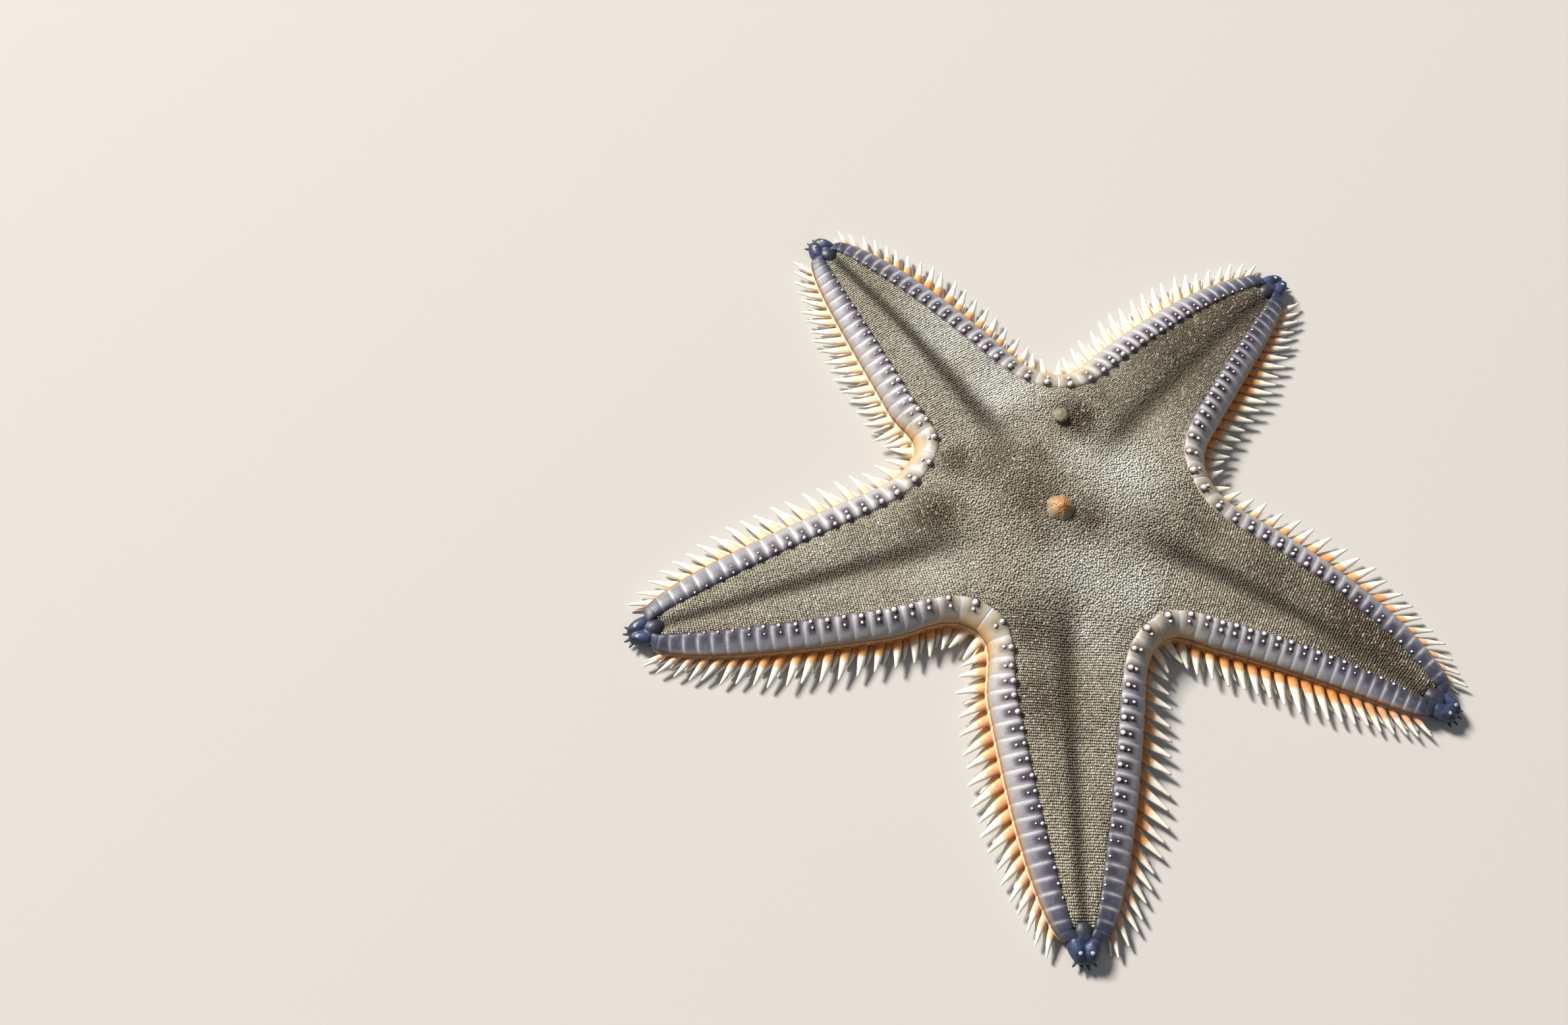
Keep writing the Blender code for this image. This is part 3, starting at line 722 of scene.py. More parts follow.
def coatPiece(name, spots, shares):
    found = [(*skinBelow(x, y), share) for (x, y), share in zip(spots, shares)]
    found = [(point, normal if normal.z > 0 else -normal, share) for point, normal, share in found if point]
    roots, normals, shares = (np.array(part) for part in zip(*found))
    count = len(roots)
    chance = random.uniform(0, 1, count)
    radius = paxillaCoat["radius"] * (random.uniform(*paxillaCoat["widths"], count)
                                      * mix(1.0, paxillaCoat["tipWidth"], shares))
    height = paxillaCoat["height"] * random.uniform(*paxillaCoat["heights"], count)
    axes = normals + random.uniform(-paxillaCoat["tilt"], paxillaCoat["tilt"], normals.shape)
    standCopies(name, "paxilla", roots, axes, stacked(radius, radius, height), "paxillae", "paxillar_skin",
                marks=markSpots(roots[:, :2], chance)[:, None], sunk=normals * paxillaCoat["sink"],
                spins=random.uniform(0, 2 * math.pi, count))
    return count


armSpots = [armPaxillae(arm) for arm in range(armCount)]
paxillaTotal = sum([coatPiece(f"arm_{arm + 1}_paxillae", *armSpots[arm]) for arm in range(armCount)])
discSpots = discPaxillae(np.vstack([spots for spots, shares in armSpots]))
paxillaTotal += coatPiece("disc_paxillae", discSpots, np.zeros(len(discSpots)))
print("paxillae:", paxillaTotal)

# Marginal rows: one closed strip of plates each, shaped by its cross-section, with a groove at every joint,
# a crowned middle and a boss under the tubercle. The last table gives how much paler the lower plates and
# spines of each arm's right and left rows are painted, as painted light on the sides that face the light.
plateRow = {"stations": (0.0, 0.05, 0.11, 0.20, 0.34, 0.5, 0.66, 0.80, 0.89, 0.95), "samples": 18,
            "upperGroove": 0.05 * mm, "lowerGroove": 0.16 * mm, "grooveWidth": 0.13, "crown": 0.04 * mm,
            "boss": 0.07 * mm, "bossPlace": 0.20, "thickness": 0.55 * mm, "sideWidth": 2.6 * mm,
            "tipReach": 1.2 * mm, "tipTurn": 0.6 * mm, "tipWidth": 0.12,
            "tipSteps": (0.2, 0.4, 0.6, 0.76, 0.88, 0.96, 1.0), "floorGap": 0.02 * mm,
            "spotStations": (0, 0.06, 0.25, 0.6, 0.85, 1.0),
            "spotAmounts": (0.45, 0.60, 0.95, 0.95, 0.60, 0.30),
            "bleached": ((0.45, 0.0), (0.0, 0.35), (0.0, 0.85), (0.35, 0.90), (0.75, 0.0))}


def platePath(kind, end):
    # Cross-section at the arc (end 0) or the tip (end 1): share of the width, and height.
    rim, seam = starPlan["rimHeight"][end], starPlan["seamHeight"][end]
    drop = rim - seam
    if kind == "upper":
        corners = [(-0.03, rim - 0.50 * mm), (0.0, rim - 0.20 * mm), (0.12, rim), (0.45, rim - 0.07 * drop),
                   (0.80, rim - 0.42 * drop), (0.97, seam + 0.30 * drop), (0.95, seam - 0.02 * mm)]
    else:
        corners = [(0.86, seam + 0.05 * mm), (0.98, 0.92 * seam), (1.02, 0.45 * seam), (0.96, 0.14 * mm),
                   (0.80, 0.06 * mm), (0.40, 0.06 * mm), (-0.02, 0.30 * mm)]
    path = np.array(corners) * [plateRow["sideWidth"], 1.0]
    for _ in range(3):
        cut = [path[0]]
        for a, b in zip(path, path[1:]):
            cut += [a * 0.75 + b * 0.25, a * 0.25 + b * 0.75]
        path = np.array(cut + [path[-1]])
    steps = stepsAlong(path)
    even = np.linspace(0, steps[-1], plateRow["samples"])
    return pathAt(even, steps, path) / [plateRow["sideWidth"], 1.0]


platePaths = {kind: (platePath(kind, 0), platePath(kind, 1)) for kind in ("upper", "lower")}


def pathSpot(kind, u, place):
    # Share of the width and height at a share of the way round the cross-section.
    index = np.arange(plateRow["samples"])
    near, far = (pathAt(place * index[-1], index, path) for path in platePaths[kind])
    return near + (far - near) * np.asarray(u)[..., None]


def plateStrip(kind, arm, side):
    # The lift of the plates' surface over their cross-section, and how it is marked.
    stations = plateRow["stations"]
    u = (np.repeat(np.arange(plateCount), len(stations)) + np.tile(stations, plateCount)) / plateCount
    u = np.append(u, 1.0)
    inPlate = np.append(np.tile(stations, plateCount), 1.0)
    place = np.linspace(0, 1, plateRow["samples"])
    middle = np.abs(inPlate - 0.5) * 2
    joint = np.exp(-((1 - middle) / 2 / plateRow["grooveWidth"]) ** 2)
    lift = plateRow["crown"] * (1 - middle ** 3) - plateRow[kind + "Groove"] * joint
    lift = np.repeat((lift * mix(1.0, 0.6, u))[:, None], len(place), axis=1)
    spot = np.full_like(lift, plateRow["bleached"][arm][side > 0])
    if kind == "upper":
        across = np.exp(-((place - plateRow["bossPlace"]) / 0.10) ** 2)
        along = np.exp(-((inPlate - 0.5) / 0.20) ** 2)
        lift = lift + plateRow["boss"] * across * (along * mix(1.0, 0.4, u))[:, None]
        across = smoothStep(0.02, 0.10, place) * (1 - smoothStep(0.34, 0.66, place))
        along = 1 - smoothStep(0.20, 0.40, np.abs(inPlate - 0.5))
        spot = across * (along * np.interp(u, plateRow["spotStations"], plateRow["spotAmounts"]))[:, None]
    return u, inPlate, place, lift, spot


def buildRow(kind, arm, side, word, material):
    u, inPlate, place, lift, spot = plateStrip(kind, arm, side)
    rows, samples = lift.shape
    path = pathSpot(kind, np.tile(u[:, None], samples), np.tile(place, (rows, 1)))
    way, width = rowAcross(arm, side, u)
    slopes = unit(np.gradient(path, axis=1) * stacked(width, 1.0)[:, None])
    normals = np.concatenate([way[:, None] * -slopes[..., 1:], slopes[..., :1]], axis=-1)
    spots = rowPoint(arm, side, np.repeat(u, samples), path[..., 0].ravel(), path[..., 1].ravel())
    spots = spots.reshape(rows, samples, 3)
    under = (spots - normals * plateRow["thickness"])[:, ::-1][:, 2:-2:3]
    rings = np.concatenate([spots + normals * lift[..., None], under], axis=1)
    ahead = raised(unit((rings[-1, :, :2] - rings[-6, :, :2]).mean(0)), 0.0)
    inward = raised(-way[-1], 0.0)
    centre = rings[-1].mean(0)
    closing = [centre + (rings[-1] - centre) * max(plateRow["tipWidth"], math.sqrt(1 - step ** 2))
               + ahead * plateRow["tipReach"] * step + inward * plateRow["tipTurn"] * step ** 2
               for step in plateRow["tipSteps"]]
    rings = np.concatenate([rings, closing])
    rings[..., 2] = np.maximum(rings[..., 2], plateRow["floorGap"])
    count = rings.shape[1]
    last = (len(rings) - 1) * count
    faces = []
    for start in range(0, last, count):
        for j in range(count):
            k = (j + 1) % count
            faces.append((start + j, start + k, start + count + k, start + count + j))
    faces.append(tuple(range(count))[::-1])
    faces.append(tuple(range(last, last + count)))
    if side > 0:
        faces = [face[::-1] for face in faces]
    alongU = np.append(u, np.ones(len(closing)))
    alongPlate = np.append(np.abs(inPlate - 0.5), np.zeros(len(closing)))
    acrossAll = np.append(place, np.ones(under.shape[1]))
    spotAll = np.zeros((len(rings), count))
    spotAll[:rows, :samples] = spot
    marks = stacked(alongU[:, None], acrossAll, alongPlate[:, None], spotAll)
    bake = stacked(np.linspace(0.01, 0.98, len(rings))[:, None], np.linspace(0.01, 0.31, count))
    name = f"arm_{arm + 1}_{word}_{kind}_plates"
    piece = buildPiece(name + "_detail", rings.reshape(-1, 3), faces, material, marks,
                       bake.reshape(-1, 2))
    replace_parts(piece, name)


for arm, side, word in rowSides:
    buildRow("upper", arm, side, word, "upperPlates")
    buildRow("lower", arm, side, word, "lowerPlates")
print("marginal plates made")


def frameOfRow(arm, side, u):
    # Outward and tipward directions of the outer margin at shares u.
    outer = margins[arm, side][1]
    before, after = np.maximum(u - 0.02, 0), np.minimum(u + 0.02, 1)
    ahead = unit(alongEdge(outer, after) - alongEdge(outer, before))
    return np.stack([-ahead[..., 1], ahead[..., 0]], axis=-1) * side, ahead


# Tubercles: one near the upper end of each plate, and a smaller one below it. Each has its
# place round the plate, scale, the share of the arm where such ones end, and lean.
tubercleRow = {"radius": (0.36 * mm, 0.10 * mm), "height": 1.55, "lift": 0.10 * mm, "sunk": 0.06 * mm,
               "places": ((0.16, 1.0, 0.92, 0.45), (0.34, 0.62, 0.72, 0.85)), "loose": 0.15,
               "sizes": (0.8, 1.15), "shift": (0.0025, 0.02)}


def tubercles():
    parts = []
    middles = (np.arange(plateCount) + 0.5) / plateCount
    slide, drop = tubercleRow["shift"]
    for arm, side in margins:
        for place, scale, last, lean in tubercleRow["places"]:
            u = middles[middles < last]
            count = len(u)
            u = u + random.uniform(-slide, slide, count)
            spot = pathSpot("upper", u, place + random.uniform(-drop, drop, count))
            way = rowAcross(arm, side, u)[0]
            loose = random.uniform(-tubercleRow["loose"], tubercleRow["loose"], (count, 2))
            radius = mix(*tubercleRow["radius"], u) * scale * random.uniform(*tubercleRow["sizes"], count)
            parts.append((rowPoint(arm, side, u, spot[:, 0], spot[:, 1] + tubercleRow["lift"]),
                          raised(way * lean + loose, 1.0),
                          stacked(radius, radius, radius * tubercleRow["height"])))
    roots, axes, sizes = (np.vstack(part) for part in zip(*parts))
    level = templates["tubercle"][0][:, 2]
    standCopies("tubercles", "tubercle", roots, axes, sizes, "tubercles", "upper_marginal_plates",
                marks=level[:, None], sunk=axes * tubercleRow["sunk"])


tubercles()
print("tubercles made")

# The comb: on each lower plate one large blade and two smaller ones beside and below it.
# Each tier is its height, length, width, extra lean in degrees and shift along the plate.
# Lengths, widths and leans are at the arc, at the middle of the arm and at its tip.
spineComb = {"length": (2.9 * mm, 4.2 * mm, 2.5 * mm), "width": (1.15 * mm, 1.30 * mm, 0.80 * mm),
             "thickness": 0.55 * mm, "lean": (6.0, 20.0, 40.0), "leanWobble": 4.0, "droop": 6.0,
             "droopWobble": 3.0, "lengthWobble": 0.06, "root": 0.35 * mm, "bend": 0.45 * mm,
             "tiers": ((0.68, 1.00, 1.00, 0.0, 0.0), (0.30, 0.74, 0.60, 10.0, 0.40),
                       (0.22, 0.55, 0.50, -6.0, -0.14))}


def combSpines(arm, side, word):
    parts = []
    for height, longness, wideness, extraLean, slide in spineComb["tiers"]:
        u = np.clip((np.arange(plateCount) + 0.5 + slide) / plateCount, 0.01, 0.99)
        measures = (spineComb["length"], spineComb["width"], spineComb["lean"])
        length, width, lean = (np.interp(u, [0, 0.5, 1], measure) for measure in measures)
        wobble = random.uniform(-1, 1, (plateCount, 3))
        outward, ahead = frameOfRow(arm, side, u)
        lean = np.radians(lean + extraLean + spineComb["leanWobble"] * wobble[:, 0])
        droop = np.radians(spineComb["droop"] + spineComb["droopWobble"] * wobble[:, 1])
        level = outward * np.cos(lean)[:, None] + ahead * np.sin(lean)[:, None]
        axis = raised(level * np.cos(droop)[:, None], -np.sin(droop))
        height = height * mix(*starPlan["seamHeight"], u)
        spot = rowPoint(arm, side, u, np.full(plateCount, 0.99), height)
        length = length * longness * (1 + spineComb["lengthWobble"] * wobble[:, 2]) + spineComb["root"]
        parts.append((spot - axis * spineComb["root"], axis,
                      stacked(width * wideness, spineComb["thickness"] * wideness, length),
                      raised(ahead * spineComb["bend"] * longness, 0.0), u))
    roots, axes, sizes, bends, u = (np.concatenate(part) for part in zip(*parts))
    chance = random.uniform(0, 1, len(roots))[:, None]
    marks = stacked(templates["blade"][0][:, 2], u[:, None], plateRow["bleached"][arm][side > 0], chance)
    standCopies(f"arm_{arm + 1}_{word}_spines", "blade", roots, axes, sizes, "spines",
                "lower_plates_and_spines", marks=marks, bends=bends)


for arm, side, word in rowSides:
    combSpines(arm, side, word)
print("spines made")

# Terminal plates: a shield of two lobes that close in on the tip, over a rounded back, with a cleft, two
# pale polished spots, partly painted highlights, and a few short blue spines at the very tip.
terminalShape = {"lobe": (3.7 * mm, 2.0 * mm, 2.3 * mm), "spread": 0.80 * mm, "turn": -17.0,
                 "back": (3.0 * mm, 2.5 * mm, 2.45 * mm), "backPlace": 1.60 * mm,
                 "setback": 0.75 * mm, "lift": 0.15 * mm, "voxel": 0.11 * mm, "softening": 7,
                 "spotRadius": 0.27 * mm, "spotPlace": (0.55 * mm, 0.66 * mm, -0.17 * mm),
                 "tipSpines": (-40, -14, 14, 40), "tipSpineSize": (0.40 * mm, 0.34 * mm, 1.15 * mm),
                 "tipSpinePlace": (0.35 * mm, 0.95 * mm, 0.80 * mm)}


def tipFrame(arm):
    far = armPoint(arm, 1.0, 0.0)
    ahead = unit(far - armPoint(arm, starPlan["innerEnd"], 0.0))
    middle = far - ahead * terminalShape["setback"] + starCentre
    return middle, ahead, np.array([-ahead[1], ahead[0]])


def terminalPlate(arm):
    middle, ahead, left = tipFrame(arm)
    shape = terminalShape
    length, _, height = shape["lobe"]
    turn = math.atan2(ahead[1], ahead[0])
    forms = [(middle + left * side * shape["spread"], turn + math.radians(shape["turn"] * side),
              shape["lobe"]) for side in (1, -1)]
    forms.append((middle - ahead * shape["backPlace"], turn, shape["back"]))
    lobes = []
    for place, way, size in forms:
        bpy.ops.mesh.primitive_uv_sphere_add(segments=24, ring_count=16, radius=0.5)
        lobe = bpy.context.object
        lift = Matrix.Translation((*place, shape["lift"] + size[2] / 2))
        lobe.data.transform(lift @ Matrix.Rotation(way, 4, "Z") @ Matrix.Diagonal((*size, 1.0)))
        lobes.append(lobe)
    for lobe in lobes:
        lobe.select_set(True)
    bpy.ops.object.join()
    joined = bpy.context.object
    remesh = joined.modifiers.new("one body", "REMESH")
    remesh.mode = "VOXEL"
    remesh.voxel_size = shape["voxel"]
    soften = joined.modifiers.new("soft cleft", "SMOOTH")
    soften.factor = 0.5
    soften.iterations = shape["softening"]
    for modifier in list(joined.modifiers):
        bpy.ops.object.modifier_apply(modifier=modifier.name)
    points, faces = templateFrom(joined)
    along = (points[:, :2] - middle) @ ahead / length + 0.5
    level = points[:, 2] / (shape["lift"] + height)
    marks = stacked(along, level, level, level)
    piece = buildPiece(f"arm_{arm + 1}_terminal_detail", points, faces, "terminal",
                       marks)
    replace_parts(piece, f"arm_{arm + 1}_terminal_plate")


def terminalTrim():
    spots, spines = [], []
    shape = terminalShape
    top = shape["lift"] + shape["lobe"][2]
    forward, aside, down = shape["spotPlace"]
    setForward, out, level = shape["tipSpinePlace"]
    radius = shape["spotRadius"]
    for arm in range(armCount):
        middle, ahead, left = tipFrame(arm)
        for side in (1, -1):
            root = middle + ahead * forward + left * side * aside
            spots.append(([*root, top + down], [0.0, 0.0, 1.0], [radius, radius, radius * 0.7]))
        for lean in np.radians(shape["tipSpines"]):
            way = ahead * np.cos(lean) + left * np.sin(lean)
            root = middle + ahead * setForward + way * out
            spines.append(([*root, level], [*way, 0.10], shape["tipSpineSize"]))
    standCopies("terminal_spots", "bead", *zip(*spots), "spots", "terminal_plates", marks=1.0)
    standCopies("terminal_spines", "spinelet", *zip(*spines), "terminal", "terminal_plates")


for arm in range(armCount):
    terminalPlate(arm)
terminalTrim()
print("terminal plates made")

# Underside: skin with a furrow down each arm and the mouth in the middle.
oralShape = {"level": 0.42 * mm, "furrowTop": 1.35 * mm, "furrowStations": (0.05, 0.25, 1.0),
             "furrowWidths": (1.0 * mm, 1.25 * mm, 0.45 * mm), "mouthRadius": 2.3 * mm, "top": 1.45 * mm}


def furrowWidth(share):
    return np.interp(share, oralShape["furrowStations"], oralShape["furrowWidths"])


def oralHeights(spots):
    share, offset, _ = armCoordinates(spots)
    away = np.linalg.norm(spots - starCentre, axis=1) / oralShape["mouthRadius"]
    depth = 1 - smoothStep(0.55, 1.15, np.abs(offset) / furrowWidth(share))
    depth = np.maximum(depth, 1 - smoothStep(0.6, 1.0, away))
    return mix(oralShape["level"], oralShape["furrowTop"], depth)


oralPoints = shellPoints(oralShape["top"], oralHeights(planSpots))
oralSkin = buildPiece("oral_skin", oralPoints, shellFaces, "oralSkin")
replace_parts(oralSkin, "mouth_frame", *[f"arm_{i}_oral" for i in range(1, armCount + 1)])

# Beside each furrow a row of small plates, and a double row of pointed tube feet inside it.
# On each plate a fan of three spines leans over the groove, and one of two leans away.
furrowRow = {"plates": 42, "plateSize": 0.62 * mm, "plateLevel": 0.62 * mm, "plateGap": 0.33 * mm,
             "plateHeight": 0.5 * mm, "plateShares": (0.085, 0.915), "spineLength": 0.95 * mm, "feet": 26,
             "footShares": (0.10, 0.90), "footLength": 1.15 * mm, "footWidth": 0.55 * mm,
             "footLevel": 1.36 * mm, "footWobble": 0.35}
furrowFans = ({"steps": (-1, 0, 1), "spacing": 0.24 * mm, "inset": 0.22 * mm, "level": 0.50 * mm,
               "inward": 0.75, "splay": 0.35, "sweep": 0.0, "drop": -0.14,
               "size": (0.20 * mm, 0.17 * mm), "length": 1.0},
              {"steps": (-0.5, 0.5), "spacing": 0.3 * mm, "inset": -0.12 * mm, "level": 0.45 * mm,
               "inward": -0.5, "splay": 1.0, "sweep": 0.4, "drop": -0.22,
               "size": (0.22 * mm, 0.18 * mm), "length": 0.6})


def furrowDetail():
    plates, spines, feet = [], [], []
    for arm, side in margins:
        share = np.linspace(*furrowRow["plateShares"], furrowRow["plates"]) ** 0.97
        shrink = mix(1.0, 0.55, share)
        offset = side * (furrowWidth(share) + furrowRow["plateGap"] * shrink)
        spots = armPoint(arm, share, offset) + starCentre
        inner = armPoint(arm, share, offset - side * 0.2 * mm) + starCentre
        ahead = unit(armPoint(arm, share + 0.01, offset) + starCentre - spots)
        for spot, forth, across, small in zip(spots, ahead, unit(inner - spots), shrink):
            size, length = furrowRow["plateSize"] * small, furrowRow["spineLength"] * small
            plates.append(([*spot, furrowRow["plateLevel"]], [*across, 0.0],
                           [size * 1.15, furrowRow["plateHeight"], size * 1.1]))
            for fan in furrowFans:
                for step in fan["steps"]:
                    root = spot + forth * step * fan["spacing"] * small + across * fan["inset"]
                    way = across * fan["inward"] + forth * (step * fan["splay"] + fan["sweep"])
                    spines.append(([*root, fan["level"]], [*way, fan["drop"]],
                                   [*fan["size"], length * fan["length"]]))
        share = np.linspace(*furrowRow["footShares"], furrowRow["feet"])
        base = armPoint(arm, share, side * furrowWidth(share) * 0.42) + starCentre
        outer = armPoint(arm, share, side * furrowWidth(share) * 0.9) + starCentre
        wobble = random.uniform(-furrowRow["footWobble"], furrowRow["footWobble"], (len(share), 2))
        for at, spot, way in zip(share, base, unit(outer - base) * 0.25 + wobble):
            width = furrowRow["footWidth"] * mix(1.0, 0.5, at)
            feet.append(([*spot, furrowRow["footLevel"]], [*way, -1.0],
                         [width, width, furrowRow["footLength"] * mix(1.0, 0.8, at)]))
    standCopies("furrow_plates", "block", *zip(*plates), "oralPlates", "oral_plates")
    standCopies("furrow_spines", "spinelet", *zip(*spines), "furrowSpines", "oral_plates")
    standCopies("tube_feet", "foot", *zip(*feet), "tubeFeet", "oral_plates")


furrowDetail()
print("underside made")

# Jaws: five pairs of wedge plates that point to the mouth, each with a fan of oral spines.
# Places and leans are away from the mouth and aside, for the first spine and for each next.
jawShape = {"place": (3.1 * mm, 0.42 * mm, 0.78 * mm), "size": (0.85 * mm, 0.8 * mm, 2.6 * mm),
            "splay": 0.10, "spines": 5, "spinePlace": np.array([(1.75, 0.25), (0.42, 0.14)]) * mm,
            "spineLean": np.array([(1.0, 0.1), (-0.2, 0.22)]), "spineLevel": 0.60 * mm, "spineDrop": -0.16,
            "spineSize": (0.30 * mm, 0.24 * mm, 0.95 * mm)}


def jaws():
    plates, spines = [], []
    away, apart, level = jawShape["place"]
    for arm in range(armCount):
        inward = -heading(arcBeside(arm, 1)[1])
        for side in (1, -1):
            aside = np.array([-inward[1], inward[0]]) * side
            root = starCentre - inward * away + aside * apart
            plates.append(([*root, level], [*(inward + aside * jawShape["splay"]), 0.0], jawShape["size"]))
            for step in range(jawShape["spines"]):
                place, lean = ((1, step) @ jawShape[name] for name in ("spinePlace", "spineLean"))
                root = starCentre - inward * place[0] + aside * place[1]
                way = inward * lean[0] + aside * lean[1]
                spines.append(([*root, jawShape["spineLevel"]], [*way, jawShape["spineDrop"]],
                               jawShape["spineSize"]))
    standCopies("jaw_plates", "block", *zip(*plates), "oralPlates", "oral_plates")
    standCopies("jaw_spines", "spinelet", *zip(*spines), "furrowSpines", "oral_plates")


jaws()

# Scales of the underside: flat grains over the lower plates and between them and the furrow.
undersideScales = {"pitch": 0.62 * mm, "size": 0.30 * mm, "places": np.linspace(0.46, 0.95, 6),
                   "slides": (-0.27, 0.0, 0.27), "spread": 0.62, "furrowRoom": 0.75 * mm,
                   "mouthRoom": 4.6 * mm, "grain": (0.46 * mm, 0.32 * mm, 0.66 * mm), "sizes": (0.8, 1.15)}


def lowerScales(arm):
    scales = []
    steps = [(side, plate + 0.5, place, slide) for side in (1, -1) for plate in range(plateCount)
             for place in undersideScales["places"] for slide in undersideScales["slides"]]
    for side, middle, place, slide in steps:
        u = (middle + slide + random.uniform(-0.06, 0.06)) / plateCount
        outward, ahead = frameOfRow(arm, side, u)
        size = undersideScales["size"] * mix(1.0, 0.7, middle / plateCount)
        size *= random.uniform(*undersideScales["sizes"])
        scales.append((rowPoint(arm, side, u, *pathSpot("lower", u, place)),
                       [*(outward * 0.55 + ahead * 0.45), -0.12], [size * 1.5, size * 0.9, size * 2.2]))
    standCopies(f"arm_{arm + 1}_lower_scales", "scale", *zip(*scales), "furrowSpines",
                "lower_plates_and_spines")


for arm in range(armCount):
    lowerScales(arm)


def actinalScales():
    # Grains on the underside skin between the furrows and the lower plates.
    pitch = undersideScales["pitch"]
    extent = undersideScales["spread"] * reach
    grid = np.arange(-extent, extent, pitch)
    spots = np.array([(x, y) for x in grid for y in grid]) + starCentre
    spots += random.uniform(-0.2, 0.2, spots.shape) * pitch
    share, offset, _ = armCoordinates(spots)
    clear = np.abs(offset) - furrowWidth(share) - undersideScales["furrowRoom"] > 0
    clear &= np.linalg.norm(spots - starCentre, axis=1) > undersideScales["mouthRoom"]
    spots = np.array([spot for spot in spots[clear] if skinBelow(*spot)[0] is not None])
    axes = raised(unit(spots - starCentre), -0.35)
    sizes = undersideScales["grain"] * random.uniform(*undersideScales["sizes"], (len(spots), 1))
    standCopies("actinal_scales", "scale", raised(spots, oralShape["level"] + 0.02 * mm), axes, sizes,
                "furrowSpines", "oral_plates")


actinalScales()
print("scales made")


def unitBall(segments, rings):
    # A ball's points and faces, with each point's turn round Z and distance from it. The
    # faces come in a new order each run, so they are sorted.
    bpy.ops.mesh.primitive_uv_sphere_add(segments=segments, ring_count=rings, radius=1)
    points, faces = templateFrom(bpy.context.object)
    x, y = points[:, 0], points[:, 1]
    return points, sorted(faces), np.arctan2(y, x), np.hypot(x, y)


# Anal cone: a soft tan rise with a grainy top. Madreporite: a low grooved button.
coneShape = {"radius": 1.65 * mm, "height": 1.30 * mm, "sunk": 1.50 * mm, "steepness": 1.35, "grains": 90,
             "grainSize": 0.10 * mm, "grainTurn": 2.39996, "grainSpread": 0.95,
             "ripples": ((5, 0.06, 0), (9, 0.04, 1))}
buttonShape = {"grooves": 12, "twist": 3, "grooveDepth": 0.22, "height": 0.45 * mm, "lift": 0.1 * mm}


def analCone():
    ball, faces, around, out = unitBall(32, 24)
    radius, steepness = coneShape["radius"], coneShape["steepness"]
    ripple = 1 + sum(depth * np.cos(waves * around + turn) for waves, depth, turn in coneShape["ripples"])
    base = coneHigh[2] - coneShape["sunk"]
    height = np.where(ball[:, 2] > 0, 1 - out ** steepness, ball[:, 2] * 0.4) * coneShape["height"]
    points = raised(starCentre + ball[:, :2] * radius * ripple[:, None],
                    base + height * (0.9 + 0.1 * ripple))
    piece = buildPiece("anal_cone_detail", points, faces, "cone", stacked(out, out, out, out))
    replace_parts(piece, "anal_cone")
    number = np.arange(coneShape["grains"])
    turn, out = number * coneShape["grainTurn"], np.sqrt((number + 0.5) / len(number))
    away = out * radius * coneShape["grainSpread"]
    spots = starCentre + stacked(np.cos(turn) * away, np.sin(turn) * away)
    roots = raised(spots, base + (1 - out ** steepness) * coneShape["height"])
    size = coneShape["grainSize"] * random.uniform(0.7, 1.2, len(number))
    standCopies("anal_cone_grains", "grain", roots, np.tile([0, 0, 1.0], (len(number), 1)),
                stacked(size, size, size), "cone", "anal_cone")


def madreporitePlate():
    low, high = (np.array(corner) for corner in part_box("madreporite"))
    ball, faces, around, out = unitBall(40, 20)
    groove = 0.5 + 0.5 * np.cos(around * buttonShape["grooves"] + buttonShape["twist"] * out)
    height = ball[:, 2] * buttonShape["height"] * (1 - buttonShape["grooveDepth"] * groove * out)
    points = raised((low + high)[:2] / 2 + ball[:, :2] * (high[0] - low[0]) / 2,
                    low[2] + buttonShape["lift"] + height)
    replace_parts(buildPiece("madreporite_detail", points, faces, "sieve"), "madreporite")


analCone()
madreporitePlate()
print("cone and madreporite made")

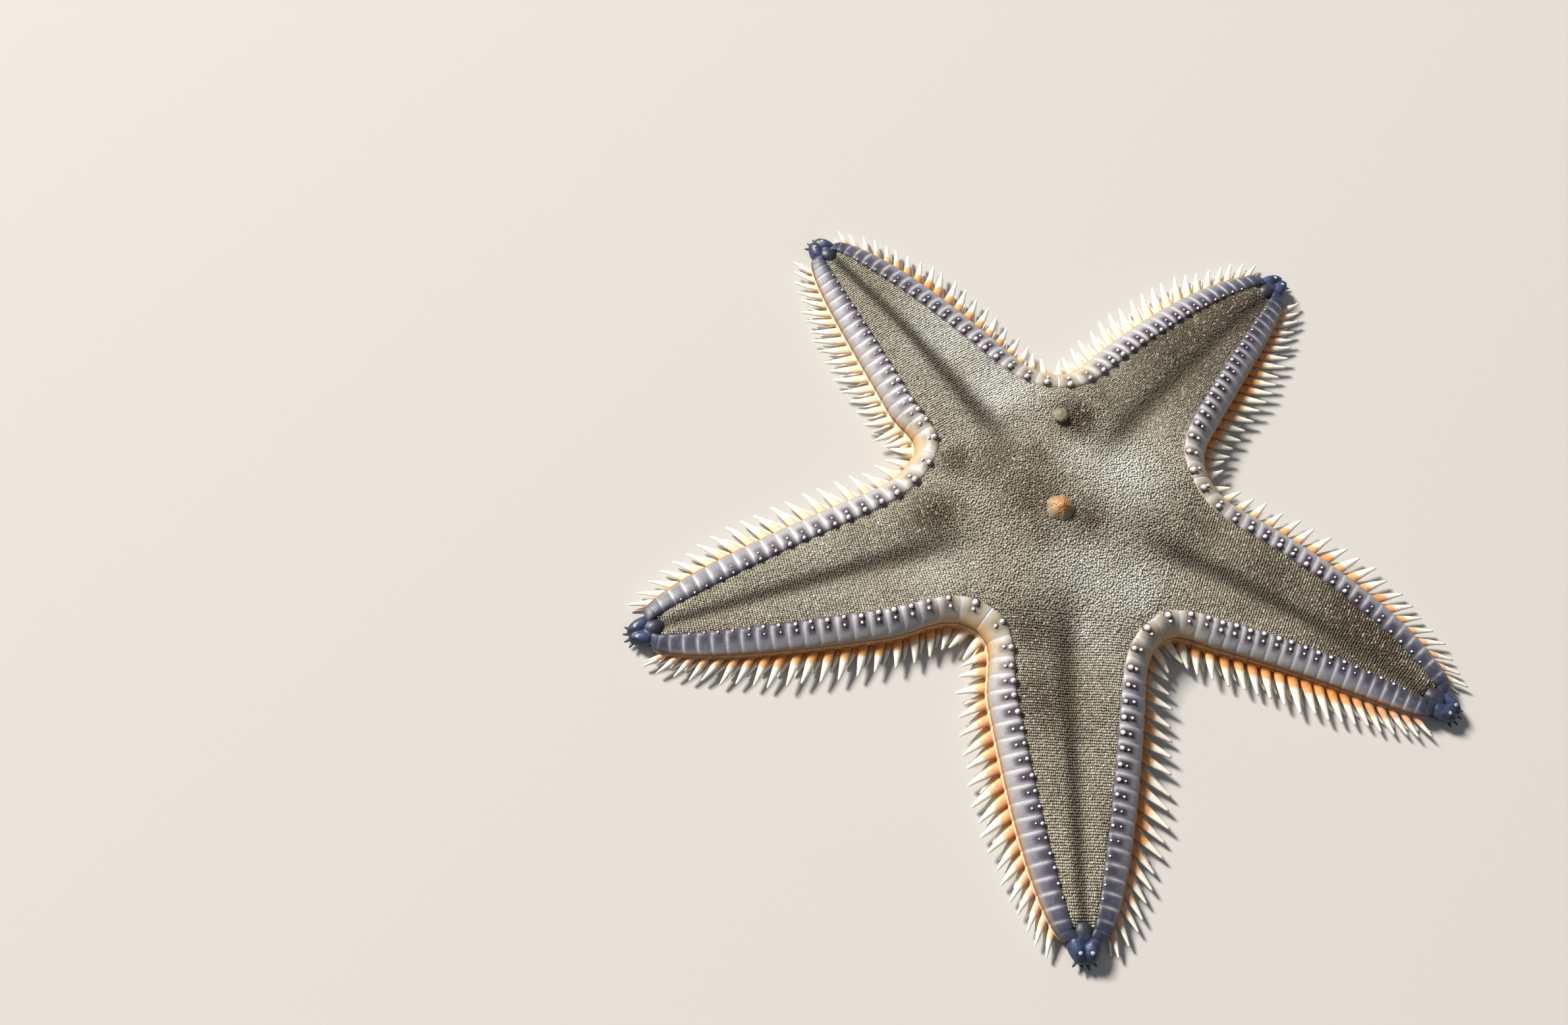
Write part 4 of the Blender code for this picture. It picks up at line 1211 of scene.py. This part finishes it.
# Stage: pale matt floor, one large soft key light from the upper left, a faint fill and a
# pale world. A light is its place, power, size and tint. The camera's distance and aim
# are shares of the reach.
studio = {"floor": "#B9B8B6", "floorSize": 3.0, "air": "#EDF1F5", "world": 0.20,
          "lights": {"key light": ((-1.85, 1.62, 1.87), 225.0, 0.62, "#FFF8EF"),
                     "fill light": ((0.6, -1.2, 1.9), 3.0, 1.4, "#E9F0FF")},
          "lens": 25.714, "sensor": 36.0, "distance": 2.838, "elevation": 67.6, "aim": (-0.664, 0.045)}


def placeInStudio(name, kind, place, back):
    # Adds a light or a camera at a place, turned to look away from its back.
    holder = bpy.data.objects.new(name, kind)
    bpy.context.scene.collection.objects.link(holder)
    holder.location = place
    holder.rotation_mode = "QUATERNION"
    holder.rotation_quaternion = (-back).to_track_quat("-Z", "Y")
    return holder


def buildStage():
    bpy.ops.mesh.primitive_plane_add(size=studio["floorSize"], location=(0, 0, 0))
    floor = bpy.context.object
    floor.name = "floor"
    surface = bpy.data.materials.new("matt studio floor")
    surface.use_nodes = True
    shader = surface.node_tree.nodes["Principled BSDF"]
    shader.inputs["Base Color"].default_value = linearColour(studio["floor"])
    shader.inputs["Roughness"].default_value = 1.0
    shader.inputs["Specular IOR Level"].default_value = 0.0
    floor.data.materials.append(surface)
    world = bpy.data.worlds.new("studio air")
    world.use_nodes = True
    air = world.node_tree.nodes["Background"]
    air.inputs["Color"].default_value = linearColour(studio["air"])
    air.inputs["Strength"].default_value = studio["world"]
    bpy.context.scene.world = world
    for name, (place, energy, size, tint) in studio["lights"].items():
        lamp = bpy.data.lights.new(name, "AREA")
        lamp.energy = energy
        lamp.size = size
        lamp.color = linearColour(tint)[:3]
        placeInStudio(name, lamp, place, Vector(place))


def buildCamera():
    tilt = math.radians(studio["elevation"])
    across, forth = starCentre + np.array(studio["aim"]) * reach
    back = Vector((0, -math.cos(tilt), math.sin(tilt)))
    camera = bpy.data.cameras.new("camera")
    camera.lens = studio["lens"]
    camera.sensor_width = studio["sensor"]
    camera.clip_start = 0.005
    camera.clip_end = 10
    place = Vector((across, forth, 0)) + back * studio["distance"] * reach
    bpy.context.scene.camera = placeInStudio("camera", camera, place, back)


buildStage()
buildCamera()
view = bpy.context.scene.view_settings
view.view_transform = "Standard"
print("stage made")
